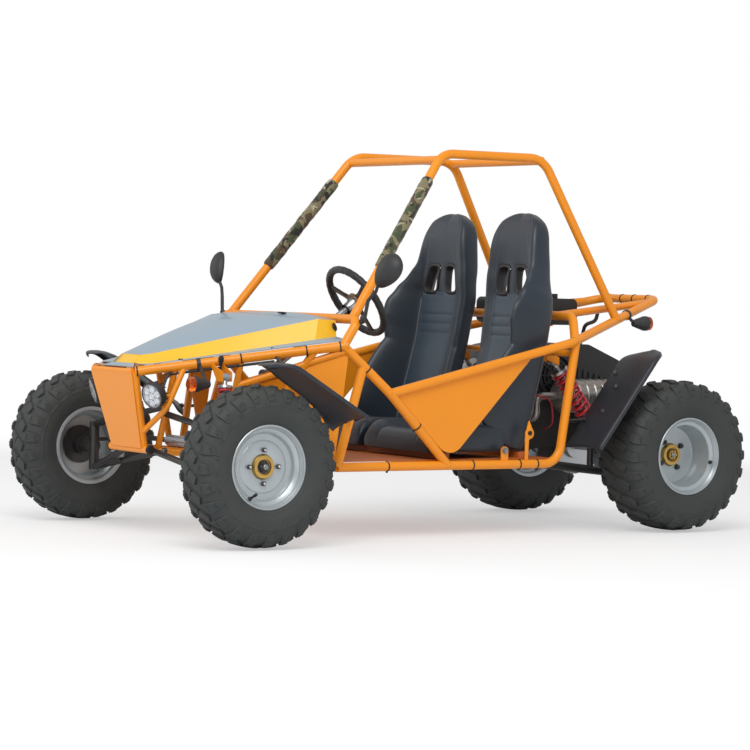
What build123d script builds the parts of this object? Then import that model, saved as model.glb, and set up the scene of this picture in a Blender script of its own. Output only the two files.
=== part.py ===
from build123d import *
import os
from collections import namedtuple
from math import cos, radians, sin

# A two-seat dune buggy: a welded tube frame on four knobbly tyres.
# Millimetres; +X forward, +Y to the driver's left, +Z up; origin on the ground under the middle.

# Axles and wheels
front_axle_x = 918.0
wheelbase = 1830.0
front_track = 1230.0
rear_track = 965.0
front_tyre_r = 270.0
front_tyre_w = 172.0
rear_tyre_r = 276.0
rear_tyre_w = 235.0
rim_flange_r = 139.5
bead_r = 127.0
well_r = 110.0
rim_wall = 4.0
front_rim_w = 140.0
rear_rim_w = 200.0
front_disc_recess = 43.0
rear_disc_recess = 109.0
shoulder_drop = 34.0
shoulder_in = 20.0
crown_drop = 9.0
stud_pcd = 110.0
stud_count = 4
stud_hole_r = 5.5
hub_nose_r = 40.0
hub_flange_r = 68.0
hub_flange_t = 10.0
hub_nose_length = 14.0
hub_barrel_r = 34.0
hub_length = 46.0
spindle_r = 10.0
axle_r = 15.0
sprocket_r = 100.0
sprocket_set_in = 118.0
sprocket_t = 8.0
sprocket_teeth = 30
tooth_h = 6.0
tooth_w = 7.0
carrier_r = 48.0
carrier_w = 40.0
brake_disc_r = 95.0
brake_set_in = 105.0
brake_disc_t = 5.0

# Clearances
weld_gap = 0.3
bearing_gap = 0.3
seat_gap = 0.3

# Tube radii
main_r = 16.0
brace_r = 12.0
guard_r = 10.0

# Frame nodes on the left-hand side; the right-hand side mirrors them
nose_top = (1122.0, 141.0, 560.0)
nose_low = (1056.0, 98.0, 296.0)
cowl_node = (490.0, 445.0, 659.0)
dash_corner = (433.0, 448.0, 750.0)
pillar_foot_y = 408.0
roof_front = (-5.0, 286.0, 1334.0)
roof_rear = (-446.0, 284.0, 1334.0)
hoop_foot = (-765.0, 326.0, 759.0)
rail_front = (316.0, 476.0, 499.0)
rail_bend = (-448.0, 480.0, 678.0)
rack_corner = (-1075.0, 166.0, 836.0)
floor_front = (515.0, 460.0, 250.0)
floor_rear = (-415.0, 460.0, 250.0)
rear_post_top = (-478.0, 465.0, 685.0)
door_foot = (62.0, 462.0, 250.0)
seat_hoop_corner = (-508.0, 402.0, 772.0)
anchor_x = -180.0
anchor_height = 40.0
anchor_eye_r = 6.0
anchor_t = 5.0
bumper_half = 135.0
lower_rail_front_y = 62.0
lower_rail_rear_y = 300.0

# Steering
kingpin_offset = 90.0
kingpin_r = 18.0
kingpin_low = 204.0
kingpin_high = 338.0
arm_spread = 105.0
arm_boss = 18.0
arm_bridge = 84.0
steering_arm = 80.0
tie_rod_z = 312.0
tie_rod_r = 9.0
rack_housing_r = 20.0
rack_housing_half = 120.0
column_tilt = 35.0
wheel_reach = 145.0
wheel_rim_r = 132.0
wheel_grip_r = 13.0
column_r = 12.0
column_length = 300.0
yoke_r = 17.0
spindle_boss_r = 26.0
spindle_step = 6.0
arm_w = 28.0
arm_t = 12.0
tie_end_r = 13.0
tie_end_h = 24.0
pinion_y = 80.0
pinion_box = 50.0
pinion_rise = 14.0
pinion_set_back = 8.0
hub_drop = 52.0

# Shock absorbers, brackets and lamps
shock_tyre_gap = 85.0
shock_arm_gap = 55.0
shock_share = 0.68
shock_eye_r = 15.0
shock_eye_w = 30.0
damper_r = 16.0
damper_rod_r = 9.0
spring_wire = 7.0
ear_t = 5.0
swing_bush_w = 46.0
lamp_centre = (1093.0, 209.0, 481.0)
lamp_depth = 44.0
engine_top = 432.0

# Seats
seat_pitch = 445.0
seat_width = 425.0
seat_front_x = 123.0
seat_rear_x = -302.0
seat_base_z = 290.0
cushion_t = 95.0
seat_lean = 14.7
seat_corner = 24.0

# Panels
sheet = 4.0
pan_t = 3.0
fender_t = 5.0
fender_bend = 60.0
fender_lap = 30.0
stay_r = 6.0
hood_clear = 4.0
panel_lap = 4.0

rear_axle_x = front_axle_x - wheelbase
kingpin_y = front_track / 2 - kingpin_offset
driver_y = seat_pitch / 2
column_dir = (-cos(radians(column_tilt)), 0, sin(radians(column_tilt)))
column_drop = main_r + column_r + weld_gap
column_clamp = (
    dash_corner[0] - column_drop * column_dir[2],
    driver_y,
    dash_corner[2] + column_drop * column_dir[0],
)
wheel_centre = tuple(p + wheel_reach * d for p, d in zip(column_clamp, column_dir))
Tube = namedtuple("Tube", "points radius bends")


def mirrored(point):
    return (point[0], -point[1], point[2])


def between(start, end, share):
    return tuple(a + (b - a) * share for a, b in zip(start, end))


def at_x(start, end, x):
    return between(start, end, (x - start[0]) / (end[0] - start[0]))


def at_z(start, end, z):
    return between(start, end, (z - start[2]) / (end[2] - start[2]))


def make(tube, extra=0.0):
    if len(tube.points) > 2:
        path = FilletPolyline(*tube.points, radius=list(tube.bends))
    else:
        path = Line(*tube.points)
    return sweep(Plane(origin=path @ 0, z_dir=path % 0) * Circle(tube.radius + extra), path=path)


def coped(tube, *neighbours):
    body = make(tube)
    for neighbour in neighbours:
        body = body - make(neighbour, weld_gap)
    return body


def both_sides(body):
    return [body, mirror(body, about=Plane.XZ)]


def rod(start, end, radius):
    return make(Tube((start, end), radius, ()))


def turned(profile, centre, direction=(0, 1, 0)):
    """A closed outline of (radius, distance along the axis) turned about the given axis."""
    face = make_face(Polyline(*[(r, 0, d) for r, d in profile], close=True))
    return Plane(origin=centre, z_dir=direction) * revolve(face, Axis.Z)


def plate(points, thickness):
    return extrude(make_face(Polyline(*points, close=True)), amount=thickness, both=True)


def save(name, *bodies):
    solids = [solid for body in bodies for solid in body.solids()]
    export_step(Compound(children=solids), f"parts/{name}.step")


# Tubes of the left-hand side, and those that run across
hood_rail_end = at_x(nose_top, cowl_node, cowl_node[0] - 14)
hood_rail = Tube((nose_top, hood_rail_end), main_r, ())
dash_hoop = Tube((cowl_node, dash_corner, mirrored(dash_corner), mirrored(cowl_node)), main_r, (36, 36))
door_tube = Tube((cowl_node, rail_front, door_foot), main_r, (300,))
upper_rail = Tube(
    (rail_front, rail_bend, rack_corner, mirrored(rack_corner), mirrored(rail_bend), mirrored(rail_front)),
    main_r,
    (130, 62, 62, 130),
)
floor_rail = Tube((floor_front, floor_rear, rear_post_top), main_r, (70,))
pillar_foot = (dash_corner[0], pillar_foot_y, dash_corner[2])
roof_hoop = Tube((pillar_foot, roof_front, roof_rear, hoop_foot), main_r, (95, 95))
front_post_top = at_x(cowl_node, rail_front, 417)
front_post = Tube((front_post_top, floor_front), main_r, ())
bulkhead_x = (front_axle_x + 82, front_axle_x - 118)
bumper_z = nose_low[2]
lower_rail = Tube(
    ((nose_low[0], lower_rail_front_y, bumper_z), (floor_front[0], lower_rail_rear_y, floor_front[2])),
    brace_r + 2,
    (),
)
bumper = Tube(((nose_low[0], bumper_half, bumper_z), (nose_low[0], -bumper_half, bumper_z)), brace_r + 2, ())
nose_post = Tube((nose_top, nose_low), brace_r, ())
bulkheads = [
    Tube((at_x(*lower_rail.points, x), at_x(nose_top, cowl_node, x)), brace_r - 1, ()) for x in bulkhead_x
]
side_brace = Tube((at_x(nose_top, cowl_node, 575), at_x(*lower_rail.points, 745)), brace_r + 1, ())
inner_brace = Tube((at_x(cowl_node, rail_front, 474), between(*bulkheads[1].points, 0.72)), brace_r, ())
seat_hoop_foot = at_x(rail_bend, rack_corner, -470)
seat_hoop = Tube(
    (seat_hoop_foot, seat_hoop_corner, mirrored(seat_hoop_corner), mirrored(seat_hoop_foot)), main_r, (60, 60)
)
floor_cross_front = Tube((floor_front, mirrored(floor_front)), main_r, ())
rear_cross_end = at_z(floor_rear, rear_post_top, 640)
rear_cross = Tube((rear_cross_end, mirrored(rear_cross_end)), brace_r, ())
rear_floor_end = (floor_rear[0] + 75, floor_rear[1], floor_rear[2])
rear_floor_cross = Tube((rear_floor_end, mirrored(rear_floor_end)), brace_r, ())
lamp_guard = Tube(
    (at_x(nose_top, cowl_node, 971), (1041, 220, 441), between(nose_low, nose_top, 0.22)), guard_r, (50,)
)

# Shock absorbers: top, foot, spring radius, direction of the bolts
Shock = namedtuple("Shock", "top foot spring_r eye_axis")
rear_shock_y = rear_track / 2 - rear_tyre_w / 2 - shock_tyre_gap
rear_shock = Shock((-515, rear_shock_y, 606), (-738, rear_shock_y, 326), 34, (0, 1, 0))
lower_arm_inner = at_x(*lower_rail.points, front_axle_x)
lower_arm_end = (front_axle_x, kingpin_y, kingpin_low - seat_gap - arm_boss / 2)
shock_rest = between(lower_arm_inner, lower_arm_end, shock_share)
front_shock_foot = (front_axle_x - 2, shock_rest[1], shock_rest[2] + shock_eye_r + arm_boss / 2 + seat_gap)
front_shock = Shock((front_axle_x - 40, 318, 548), front_shock_foot, 26, (1, 0, 0))
swing_y = rear_shock_y - shock_arm_gap
swing_pivot = (floor_rear[0] + 23, swing_y, floor_rear[2] - 4)
brake_disc_y = swing_y - brake_set_in
sprocket_y = sprocket_set_in - swing_y


def frame_nodes():
    save("floor_rails", *both_sides(coped(floor_rail, upper_rail) + belt_anchor()))
    save("upper_rails", coped(upper_rail, door_tube, mirrored_tube(door_tube)))
    door = coped(door_tube, hood_rail, dash_hoop, floor_rail)
    post = coped(front_post, door_tube, floor_rail, floor_cross_front)
    side = coped(side_brace, hood_rail, lower_rail, inner_brace)
    inner = coped(inner_brace, hood_rail, door_tube, front_post, bulkheads[1])
    save("side_braces", *both_sides(door), *both_sides(post), *both_sides(side), *both_sides(inner))
    save("hood_rails", *both_sides(make(hood_rail)))
    save("dash_hoop", coped(dash_hoop, hood_rail, mirrored_tube(hood_rail)))
    save("roof_hoops", *both_sides(coped(roof_hoop, dash_hoop, upper_rail)))
    save("cross_bars", *cross_bars())
    save("rack_tubes", *rack_tubes())
    save("nose_frame", *nose_frame())
    save("frame_brackets", *frame_brackets())


def mirrored_tube(tube):
    return Tube(tuple(mirrored(p) for p in tube.points), tube.radius, tube.bends)


def belt_anchor():
    """Welded tab with an eye for a seat belt, standing on the floor rail."""
    foot = (anchor_x, floor_rear[1], floor_rear[2] + main_r / 2)
    eye = foot[2] + anchor_height
    middle = Location((foot[0], foot[1], (foot[2] + eye) / 2))
    tab = middle * Box(2 * anchor_eye_r + 18, anchor_t, eye - foot[2])
    across = Plane(origin=(foot[0], foot[1], eye), z_dir=(0, 1, 0))
    return tab + across * Cylinder(anchor_eye_r + 9, anchor_t) - across * Cylinder(anchor_eye_r, 2 * anchor_t)


def cross_bars():
    bars = []
    ends = (floor_rail, mirrored_tube(floor_rail))
    bars.append(coped(floor_cross_front, *ends))
    for x in (seat_front_x - 80, seat_rear_x + 90):
        start = (x, floor_front[1], floor_front[2])
        bars.append(coped(Tube((start, mirrored(start)), brace_r, ()), *ends))
    bars += [coped(rear_floor_cross, *ends), coped(rear_cross, *ends)]
    hoops = (roof_hoop, mirrored_tube(roof_hoop))
    for start in ((8, roof_front[1], 1311), (roof_rear[0] + 6, roof_rear[1], roof_rear[2] - 8)):
        bars.append(coped(Tube((start, mirrored(start)), main_r - 1, ()), *hoops))
    return bars


def rack_tubes():
    hoop = coped(seat_hoop, upper_rail, floor_rail, mirrored_tube(floor_rail))
    start = (seat_hoop_corner[0], 300, seat_hoop_corner[2])
    side = Tube((start, at_x(rail_bend, rack_corner, -1030)), main_r - 2, ())
    return [hoop, *both_sides(coped(side, seat_hoop, upper_rail, roof_hoop))]


def nose_frame():
    bodies = [make(bumper)]
    bodies += both_sides(coped(nose_post, hood_rail, bumper))
    bodies += both_sides(coped(lower_rail, bumper, floor_cross_front))
    for tube in bulkheads:
        bodies += both_sides(coped(tube, lower_rail, hood_rail))
    top = at_x(nose_top, nose_low, nose_top[0] - 6)
    posts = (nose_post, mirrored_tube(nose_post))
    bodies.append(coped(Tube((top, mirrored(top)), guard_r, ()), *posts, hood_rail, mirrored_tube(hood_rail)))
    bodies += both_sides(coped(lamp_guard, hood_rail, nose_post))
    rails = (lower_rail, mirrored_tube(lower_rail))
    saddle_z = tie_rod_z - rack_housing_r - seat_gap - brace_r
    start = at_x(*lower_rail.points, front_axle_x - steering_arm)
    saddle = Tube(((start[0], start[1], saddle_z), (start[0], -start[1], saddle_z)), brace_r, ())
    bodies.append(coped(saddle, *rails))
    return bodies


def ears(outline, width, axis):
    """Two bracket plates of one outline, either side of an eye of the given width."""
    face = make_face(Polyline(*outline, close=True))
    step = width / 2 + seat_gap + ear_t / 2
    shifts = [tuple(sign * step * a for a in axis) for sign in (1, -1)]
    return [Location(shift) * extrude(face, amount=ear_t / 2, both=True, dir=axis) for shift in shifts]


def frame_brackets():
    """Welded ears that hold the shock absorbers and the swing arm, and the headlamp stubs."""
    bodies = []
    x, y, z = front_shock.top
    rail = at_x(nose_top, cowl_node, x)
    outline = [(x, rail[1] - 8, rail[2]), (x, y + 16, z + 18), (x, y + 16, z - 14), (x, y - 16, z - 14)]
    pair = ears(outline, shock_eye_w, (1, 0, 0))
    bodies += [ear - make(hood_rail, weld_gap) for ear in pair]
    x, y, z = rear_shock.top
    tube = rear_cross.points[0]
    outline = [(tube[0], y, tube[2] + 10), (x - 14, y, z + 14)]
    outline += [(x - 14, y, z - 14), (tube[0], y, tube[2] - 26)]
    pair = ears(outline, shock_eye_w, (0, 1, 0))
    bodies += [ear - make(rear_cross, weld_gap) for ear in pair]
    x, y, z = swing_pivot
    tube = rear_floor_cross.points[0]
    outline = [(tube[0], y, tube[2] + 16), (x - 20, y, z + 18)]
    outline += [(x - 20, y, z - 18), (tube[0], y, tube[2] - 16)]
    pair = ears(outline, swing_bush_w, (0, 1, 0))
    bodies += [ear - make(rear_floor_cross, weld_gap) for ear in pair]
    x, y, z = lamp_centre
    start = at_z(*lamp_guard.points[:2], z)
    stub = Tube((start, (x - lamp_depth - seat_gap, start[1], z)), 7, ())
    bodies.append(coped(stub, lamp_guard))
    return [side for body in bodies for side in both_sides(body.solids().sort_by(SortBy.VOLUME)[-1])]


def floor_pan():
    """Floor sheet on the cross tubes, with two pressed ribs that carry the seats."""
    top = floor_front[2] + main_r + weld_gap
    half = floor_front[1] - main_r - weld_gap
    length = floor_front[0] - main_r - floor_rear[0] - 20
    middle = floor_front[0] - main_r - length / 2
    pan = Location((middle, 0, top + pan_t / 2)) * Box(length, 2 * half, pan_t)
    rib_top = seat_base_z - seat_gap
    for x in (seat_front_x - 80, seat_rear_x + 8):
        height = rib_top - top
        pan += Location((x, 0, top + height / 2)) * Box(40, 2 * half - 60, height)
    return pan


def door_panel():
    """V-shaped side panel between the door tube and the upper rail, round at its foot."""
    y = rail_front[1] - 4
    rear = at_x(rail_front, rail_bend, -296)
    foot = (door_foot[0] - 6, door_foot[2] + main_r + 6)
    outline = FilletPolyline(
        (rail_front[0] + 30, y, rail_front[2] + 20),
        (rear[0], y, rear[2]),
        (foot[0], y, foot[1]),
        radius=(12, 12, 60),
        close=True,
    )
    panel = extrude(make_face(outline), amount=sheet / 2, both=True)
    for tube in (door_tube, upper_rail, floor_rail):
        panel = panel - make(tube, weld_gap)
    return panel.solids().sort_by(SortBy.VOLUME)[-1]


def foot_panel():
    """Three-cornered sheet beside the footwell, under the inner brace."""
    corners = (
        at_x(*inner_brace.points, 470),
        at_x(*inner_brace.points, 640),
        (floor_front[0] + 6, floor_front[1] - 8, floor_front[2] + 10),
    )
    panel = plate(corners, sheet / 2)
    for tube in (inner_brace, front_post, door_tube, floor_rail, floor_cross_front, side_brace):
        panel = panel - make(tube, weld_gap)
    return panel.solids().sort_by(SortBy.VOLUME)[-1]


def front_panel():
    """Plate on the nose posts, wider at the top, with its sides folded back."""
    slope = (nose_top[0] - nose_low[0]) / (nose_top[2] - nose_low[2])
    normal = Vector(1, 0, -slope).normalized()
    seat = normal * (brace_r + weld_gap)
    low, high = [Vector(between(nose_low, nose_top, share)) + seat for share in (0.03, 1.0)]
    outline = [(p.X, p.Y + panel_lap, p.Z) for p in (low, high)]
    outline += [mirrored(p) for p in reversed(outline)]
    return extrude(make_face(Polyline(*outline, close=True)), amount=sheet, dir=normal)


# Hood sections from nose to cowl: low edge x, half width, z; top edge x, half width, z; crown z
HoodSection = namedtuple("HoodSection", "low_x low_y low_z top_x top_y top_z crown")
hood_sections = [
    HoodSection(1090, 76, 586, 1062, 66, 614, 616),
    HoodSection(1072, 114, 583, 1030, 95, 620, 634),
    HoodSection(818, 250, 631, 785, 228, 685, 733),
    HoodSection(565, 385, 679, 541, 362, 749, 764),
    HoodSection(478, 380, 690, 460, 345, 744, 757),
]


def hood():
    """Folded cover: crowned top, sloping side bands and a flange that lies on the hood rails."""
    faces = []
    for s in hood_sections:
        rail = at_x(nose_top, cowl_node, s.low_x)
        tip_z = rail[2] + main_r * 1.03 + seat_gap
        outer = [(rail[1], tip_z + sheet), (s.low_y, s.low_z), (s.top_y, s.top_z)]
        inner = [(rail[1], tip_z), (s.low_y - sheet, s.low_z - sheet), (s.top_y - sheet, s.top_z - sheet)]
        ring = outer + [(0, s.crown)] + [(-y, z) for y, z in reversed(outer)]
        ring += [(-y, z) for y, z in inner] + [(0, s.crown - sheet)] + list(reversed(inner))
        slope = (s.top_x - s.low_x) / (s.top_z - s.low_z)
        corners = [(s.low_x + (z - s.low_z) * slope, y, z) for y, z in ring]
        faces.append(make_face(Polyline(*corners, close=True)))
    cover = loft(faces, ruled=True)
    nose = hood_sections[0]
    front = [(nose.low_x, nose.low_y, nose.low_z), (nose.top_x, nose.top_y, nose.top_z)]
    front += [mirrored(p) for p in reversed(front)]
    cover += extrude(make_face(Polyline(*front, close=True)), amount=-sheet, dir=(1, 0, 0))
    return cover - make(dash_hoop, hood_clear)


def tyre(radius, width, rim_width):
    """Section of a low-pressure tyre: bead, bulging wall, shoulder and a slightly crowned tread."""
    bead = rim_width / 2 - rim_wall - bearing_gap
    half = width / 2
    inner = bead_r + bearing_gap
    shoulder_r = radius - shoulder_drop
    edge = half - shoulder_in
    crown_r = radius - crown_drop
    lines = [Line((inner, 0, bead), (inner, 0, -bead))]
    for side in (1, -1):
        lines.append(Line((inner, 0, side * bead), (rim_flange_r, 0, side * bead)))
        shoulder, flange = (shoulder_r, 0, side * half), (rim_flange_r, 0, side * bead)
        lines.append(TangentArc(shoulder, flange, tangent=(-1, 0, 0)))
        lines.append(Line((shoulder_r, 0, side * half), (crown_r, 0, side * edge)))
    lines.append(ThreePointArc((crown_r, 0, edge), (radius, 0, 0), (crown_r, 0, -edge)))
    return revolve(make_face(lines), Axis.Z)


def rim(width, recess):
    """Pressed steel rim: two flanges, bead seats, a well and a recessed disc with stud holes."""
    half = width / 2
    seat = half - rim_wall - 16
    well = half - rim_wall - 30
    disc = half - recess
    outside = [
        (rim_flange_r, half), (rim_flange_r, half - rim_wall), (bead_r, half - rim_wall), (bead_r, seat),
        (well_r, well), (well_r, -well), (bead_r, -seat), (bead_r, -half + rim_wall),
        (rim_flange_r, -half + rim_wall), (rim_flange_r, -half),
    ]
    inside_r = bead_r - rim_wall
    disc_r = well_r - rim_wall
    inside = [
        (inside_r, -half), (inside_r, -seat), (disc_r, -well), (disc_r, disc - rim_wall),
        (hub_nose_r + 1, disc - rim_wall), (hub_nose_r + 1, disc), (disc_r, disc),
        (disc_r, well), (inside_r, seat), (inside_r, half),
    ]
    body = revolve(make_face(Polyline(*[(r, 0, d) for r, d in outside + inside], close=True)), Axis.Z)
    holes = PolarLocations(stud_pcd / 2, stud_count) * Cylinder(stud_hole_r, 4 * rim_wall)
    for hole in holes:
        body = body - Location((0, 0, disc)) * hole
    return body


def hub(disc_y, bore_r):
    """Flanged hub behind the rim's disc, with a nose that stands through it."""
    face = disc_y - rim_wall
    profile = [
        (bore_r, face - hub_length), (hub_barrel_r, face - hub_length),
        (hub_barrel_r, face - hub_flange_t), (hub_flange_r, face - hub_flange_t),
        (hub_flange_r, face), (hub_nose_r, face),
        (hub_nose_r, disc_y + hub_nose_length), (bore_r, disc_y + hub_nose_length),
    ]
    return revolve(make_face(Polyline(*[(r, 0, d) for r, d in profile], close=True)), Axis.Z)


def on_axle(body, x, y, z, side):
    """Turns a wheel piece made along +Z so that its outer face looks out to the given side."""
    return Plane(origin=(x, side * y, z), x_dir=(1, 0, 0), z_dir=(0, side, 0)) * body


def front_wheels():
    disc = front_rim_w / 2 - front_disc_recess
    pieces = {
        "tyre": tyre(front_tyre_r, front_tyre_w, front_rim_w),
        "rim": rim(front_rim_w, front_disc_recess),
        "hub": hub(disc, spindle_r + bearing_gap),
    }
    for side, word in ((1, "left"), (-1, "right")):
        for name, body in pieces.items():
            save(f"{name}_front_{word}", on_axle(body, front_axle_x, front_track / 2, front_tyre_r, side))


def rear_wheels():
    disc = rear_rim_w / 2 - rear_disc_recess
    pieces = {
        "rear_tyres": tyre(rear_tyre_r, rear_tyre_w, rear_rim_w),
        "rear_rims": rim(rear_rim_w, rear_disc_recess),
        "rear_hubs": hub(disc, axle_r + bearing_gap),
    }
    for name, body in pieces.items():
        save(name, *[on_axle(body, rear_axle_x, rear_track / 2, rear_tyre_r, side) for side in (1, -1)])
    half = rear_track / 2 + disc + hub_nose_length
    shaft = rod((rear_axle_x, -half, rear_tyre_r), (rear_axle_x, half, rear_tyre_r), axle_r)
    discs = ((brake_disc_y, brake_disc_r, brake_disc_t), (sprocket_y, carrier_r, carrier_w))
    for y, radius, thick in discs:
        shaft += axle_plane(y) * Cylinder(radius, thick)
    save("axle_shaft", shaft)
    root_r = sprocket_r - tooth_h
    ring = Cylinder(root_r, sprocket_t) - Cylinder(carrier_r + weld_gap, 2 * sprocket_t)
    for tooth in PolarLocations(root_r, sprocket_teeth) * Box(2 * tooth_h, tooth_w, sprocket_t):
        ring += tooth
    save("sprocket", axle_plane(sprocket_y) * ring)


def axle_plane(y):
    return Plane(origin=(rear_axle_x, y, rear_tyre_r), z_dir=(0, 1, 0))


def knuckle():
    """Left upright: kingpin post, spindle for the hub, and the steering arm behind it."""
    post_z = (kingpin_low + kingpin_high) / 2
    body = Location((front_axle_x, kingpin_y, post_z)) * Cylinder(kingpin_r, kingpin_high - kingpin_low)
    disc_y = front_track / 2 + front_rim_w / 2 - front_disc_recess
    hub_back = disc_y - rim_wall - hub_length
    centre = (front_axle_x, kingpin_y, front_tyre_r)
    body += rod(centre, (front_axle_x, hub_back - spindle_step, front_tyre_r), spindle_boss_r)
    body += rod(centre, (front_axle_x, disc_y, front_tyre_r), spindle_r)
    arm_z = tie_rod_z - tie_end_h / 2 - seat_gap - arm_t / 2
    arm = SlotCenterToCenter(steering_arm, arm_w)
    place = Location((front_axle_x - steering_arm / 2, kingpin_y, arm_z))
    return body + place * extrude(arm, amount=arm_t / 2, both=True)


def steering_rack():
    """Rack bar with a tie rod and a joint at each end, resting over the steering arms."""
    x = front_axle_x - steering_arm
    body = rod((x, -kingpin_y, tie_rod_z), (x, kingpin_y, tie_rod_z), tie_rod_r)
    for y in (kingpin_y, -kingpin_y):
        body += Location((x, y, tie_rod_z)) * Cylinder(tie_end_r, tie_end_h)
    return body


def steering_column():
    """Column tube under the dash bar with its lower shaft, and the rack housing with its pinion box."""
    lower = tuple(p - column_length * d for p, d in zip(column_clamp, column_dir))
    reach = wheel_reach - hub_drop - bearing_gap
    upper = tuple(p + reach * d for p, d in zip(column_clamp, column_dir))
    x = front_axle_x - steering_arm
    box_x = x - pinion_set_back
    box_h = rack_housing_r + pinion_rise
    box_at = Location((box_x, pinion_y, tie_rod_z + box_h / 2))
    housing = rod((x, -rack_housing_half, tie_rod_z), (x, rack_housing_half, tie_rod_z), rack_housing_r)
    housing += box_at * Box(pinion_box, pinion_box, box_h)
    end = 2 * rack_housing_half
    bore = rod((x, -end, tie_rod_z), (x, end, tie_rod_z), tie_rod_r + bearing_gap)
    column = rod(upper, lower, column_r)
    column += Plane(origin=lower, z_dir=(0, 1, 0)) * Cylinder(yoke_r, 2 * yoke_r)
    column += rod(lower, (box_x, pinion_y, tie_rod_z + box_h), spindle_r)
    gap = 2 * seat_gap
    return [column - box_at * Box(pinion_box + gap, pinion_box + gap, box_h + gap), housing - bore]


def steering_wheel():
    ring = Torus(wheel_rim_r, wheel_grip_r) + Location((0, 0, -6)) * Cylinder(34, 14)
    for angle in (90, 210, 330):
        spoke = Location((wheel_rim_r / 2, 0, -4)) * Box(wheel_rim_r, 26, 5)
        ring += Rotation(0, 0, angle) * spoke
    ring += Location((0, 0, -hub_drop / 2)) * Cylinder(20, hub_drop)
    return Plane(origin=wheel_centre, x_dir=(0, 1, 0), z_dir=column_dir) * ring


def front_arms():
    """Lower and upper wishbones from the frame to the kingpin; the lower one carries the shock absorber."""
    bodies = []
    inner_low = [at_x(*lower_rail.points, front_axle_x + dx) for dx in (arm_spread, -arm_spread)]
    inner_high = [between(*tube.points, 0.44) for tube in bulkheads]
    shift = seat_gap + arm_boss / 2
    for inner, z, turn in ((inner_low, kingpin_low - shift, 1), (inner_high, kingpin_high + shift, -1)):
        end = (front_axle_x, kingpin_y, z)
        arm = Location(end) * Cylinder(kingpin_r, arm_boss)
        for point in inner:
            arm += rod(point, end, brace_r - 1)
        if inner is inner_low:
            x, y, foot_z = front_shock.foot
            rest = foot_z - shock_eye_r - seat_gap - arm_boss / 2
            arm += Location((x, y, rest)) * Box(arm_bridge, 26, arm_boss)
        for tube in (lower_rail, *bulkheads):
            arm = arm - make(tube, weld_gap)
        clear = Cylinder(kingpin_r + 6, 100)
        arm = arm - Location((end[0], end[1], z + turn * (arm_boss / 2 + 50))) * clear
        bodies += both_sides(arm.solids().sort_by(SortBy.VOLUME)[-1])
    return bodies


def dampers():
    bodies = []
    for shock in (rear_shock, front_shock):
        body = rod(shock.top, between(shock.top, shock.foot, 0.55), damper_rod_r)
        body += rod(between(shock.top, shock.foot, 0.5), between(shock.top, shock.foot, 0.94), damper_r)
        for low, high in ((0.10, 0.13), (0.80, 0.83)):
            ends = [between(shock.top, shock.foot, share) for share in (low, high)]
            body += rod(*ends, shock.spring_r)
        body += rod(between(shock.top, shock.foot, 0.9), shock.foot, damper_rod_r)
        for end in (shock.top, shock.foot):
            body += Plane(origin=end, z_dir=shock.eye_axis) * Cylinder(shock_eye_r, shock_eye_w)
        bodies += both_sides(body)
    return bodies


def springs():
    """Coil springs between the two seats of each shock absorber, as a stack of turns."""
    bodies = []
    for shock in (rear_shock, front_shock):
        start = Vector(between(shock.top, shock.foot, 0.13))
        end = Vector(between(shock.top, shock.foot, 0.80))
        length = (end - start).length - 2 * seat_gap
        turns = 7
        pitch = length / turns
        inner = damper_r + seat_gap
        outer = shock.spring_r
        outline = [(inner, seat_gap), (inner, seat_gap + length)]
        for turn in reversed(range(turns)):
            low = seat_gap + turn * pitch
            outline += [(outer - spring_wire / 2, low + pitch)]
            outline += [(outer, low + pitch * 0.7), (outer, low + pitch * 0.3)]
        outline.append((outer - spring_wire / 2, seat_gap))
        bodies += both_sides(turned(outline, start, end - start))
    return bodies


swing_knee = (rear_axle_x + 66, swing_pivot[1], 196)
swing_cross = []
for x in (-560, -740):
    end = at_x(swing_pivot, swing_knee, x)
    swing_cross.append(Tube((end, mirrored(end)), 13, ()))


def swing_arm():
    """Trailing frame that carries the live axle in two bearing housings."""
    y = swing_pivot[1]
    axle_end = (rear_axle_x + 8, y, rear_tyre_r - 20)
    body = make(Tube((swing_pivot, swing_knee, axle_end), main_r, (60,)))
    body += Plane(origin=(rear_axle_x, y, rear_tyre_r), z_dir=(0, 1, 0)) * Cylinder(42, 52)
    body += Plane(origin=swing_pivot, z_dir=(0, 1, 0)) * Cylinder(20, swing_bush_w)
    x, shock_y, z = rear_shock.foot
    body += rod((x, y, 210), (x, y, z), 13)
    body += rod((x, y, z), (x, shock_y - shock_eye_w / 2 - seat_gap, z), 9)
    frame = body + mirror(body, about=Plane.XZ)
    for tube in swing_cross:
        frame += make(tube)
    bore = rod((rear_axle_x, -2 * y, rear_tyre_r), (rear_axle_x, 2 * y, rear_tyre_r), axle_r + bearing_gap)
    return frame - bore


def engine():
    """Crankcase on two lugs over the cross tubes of the swing arm."""
    outline = FilletPolyline(
        (-505, 0, 270), (-800, 0, 300), (-800, 0, 400), (-690, 0, engine_top), (-505, 0, engine_top),
        radius=(20, 30, 30, 20, 20), close=True,
    )
    body = Location((0, -35, 0)) * extrude(make_face(outline), amount=120, both=True)
    for tube in swing_cross:
        x, _, z = tube.points[0]
        body += Location((x, -35, z + 55)) * Box(34, 90, 110)
        body = body - make(tube, weld_gap)
    return body


def engine_shroud():
    """Black cooling shroud over the engine, its top sloping away to the rear."""
    low = engine_top + seat_gap
    outline = FilletPolyline(
        (-560, 0, low), (-556, 0, 664), (-820, 0, 664), (-972, 0, 602), (-985, 0, 470), (-800, 0, low),
        radius=(12, 24, 40, 24, 30, 20), close=True,
    )
    return Location((0, -40, 0)) * extrude(make_face(outline), amount=130, both=True)


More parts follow.
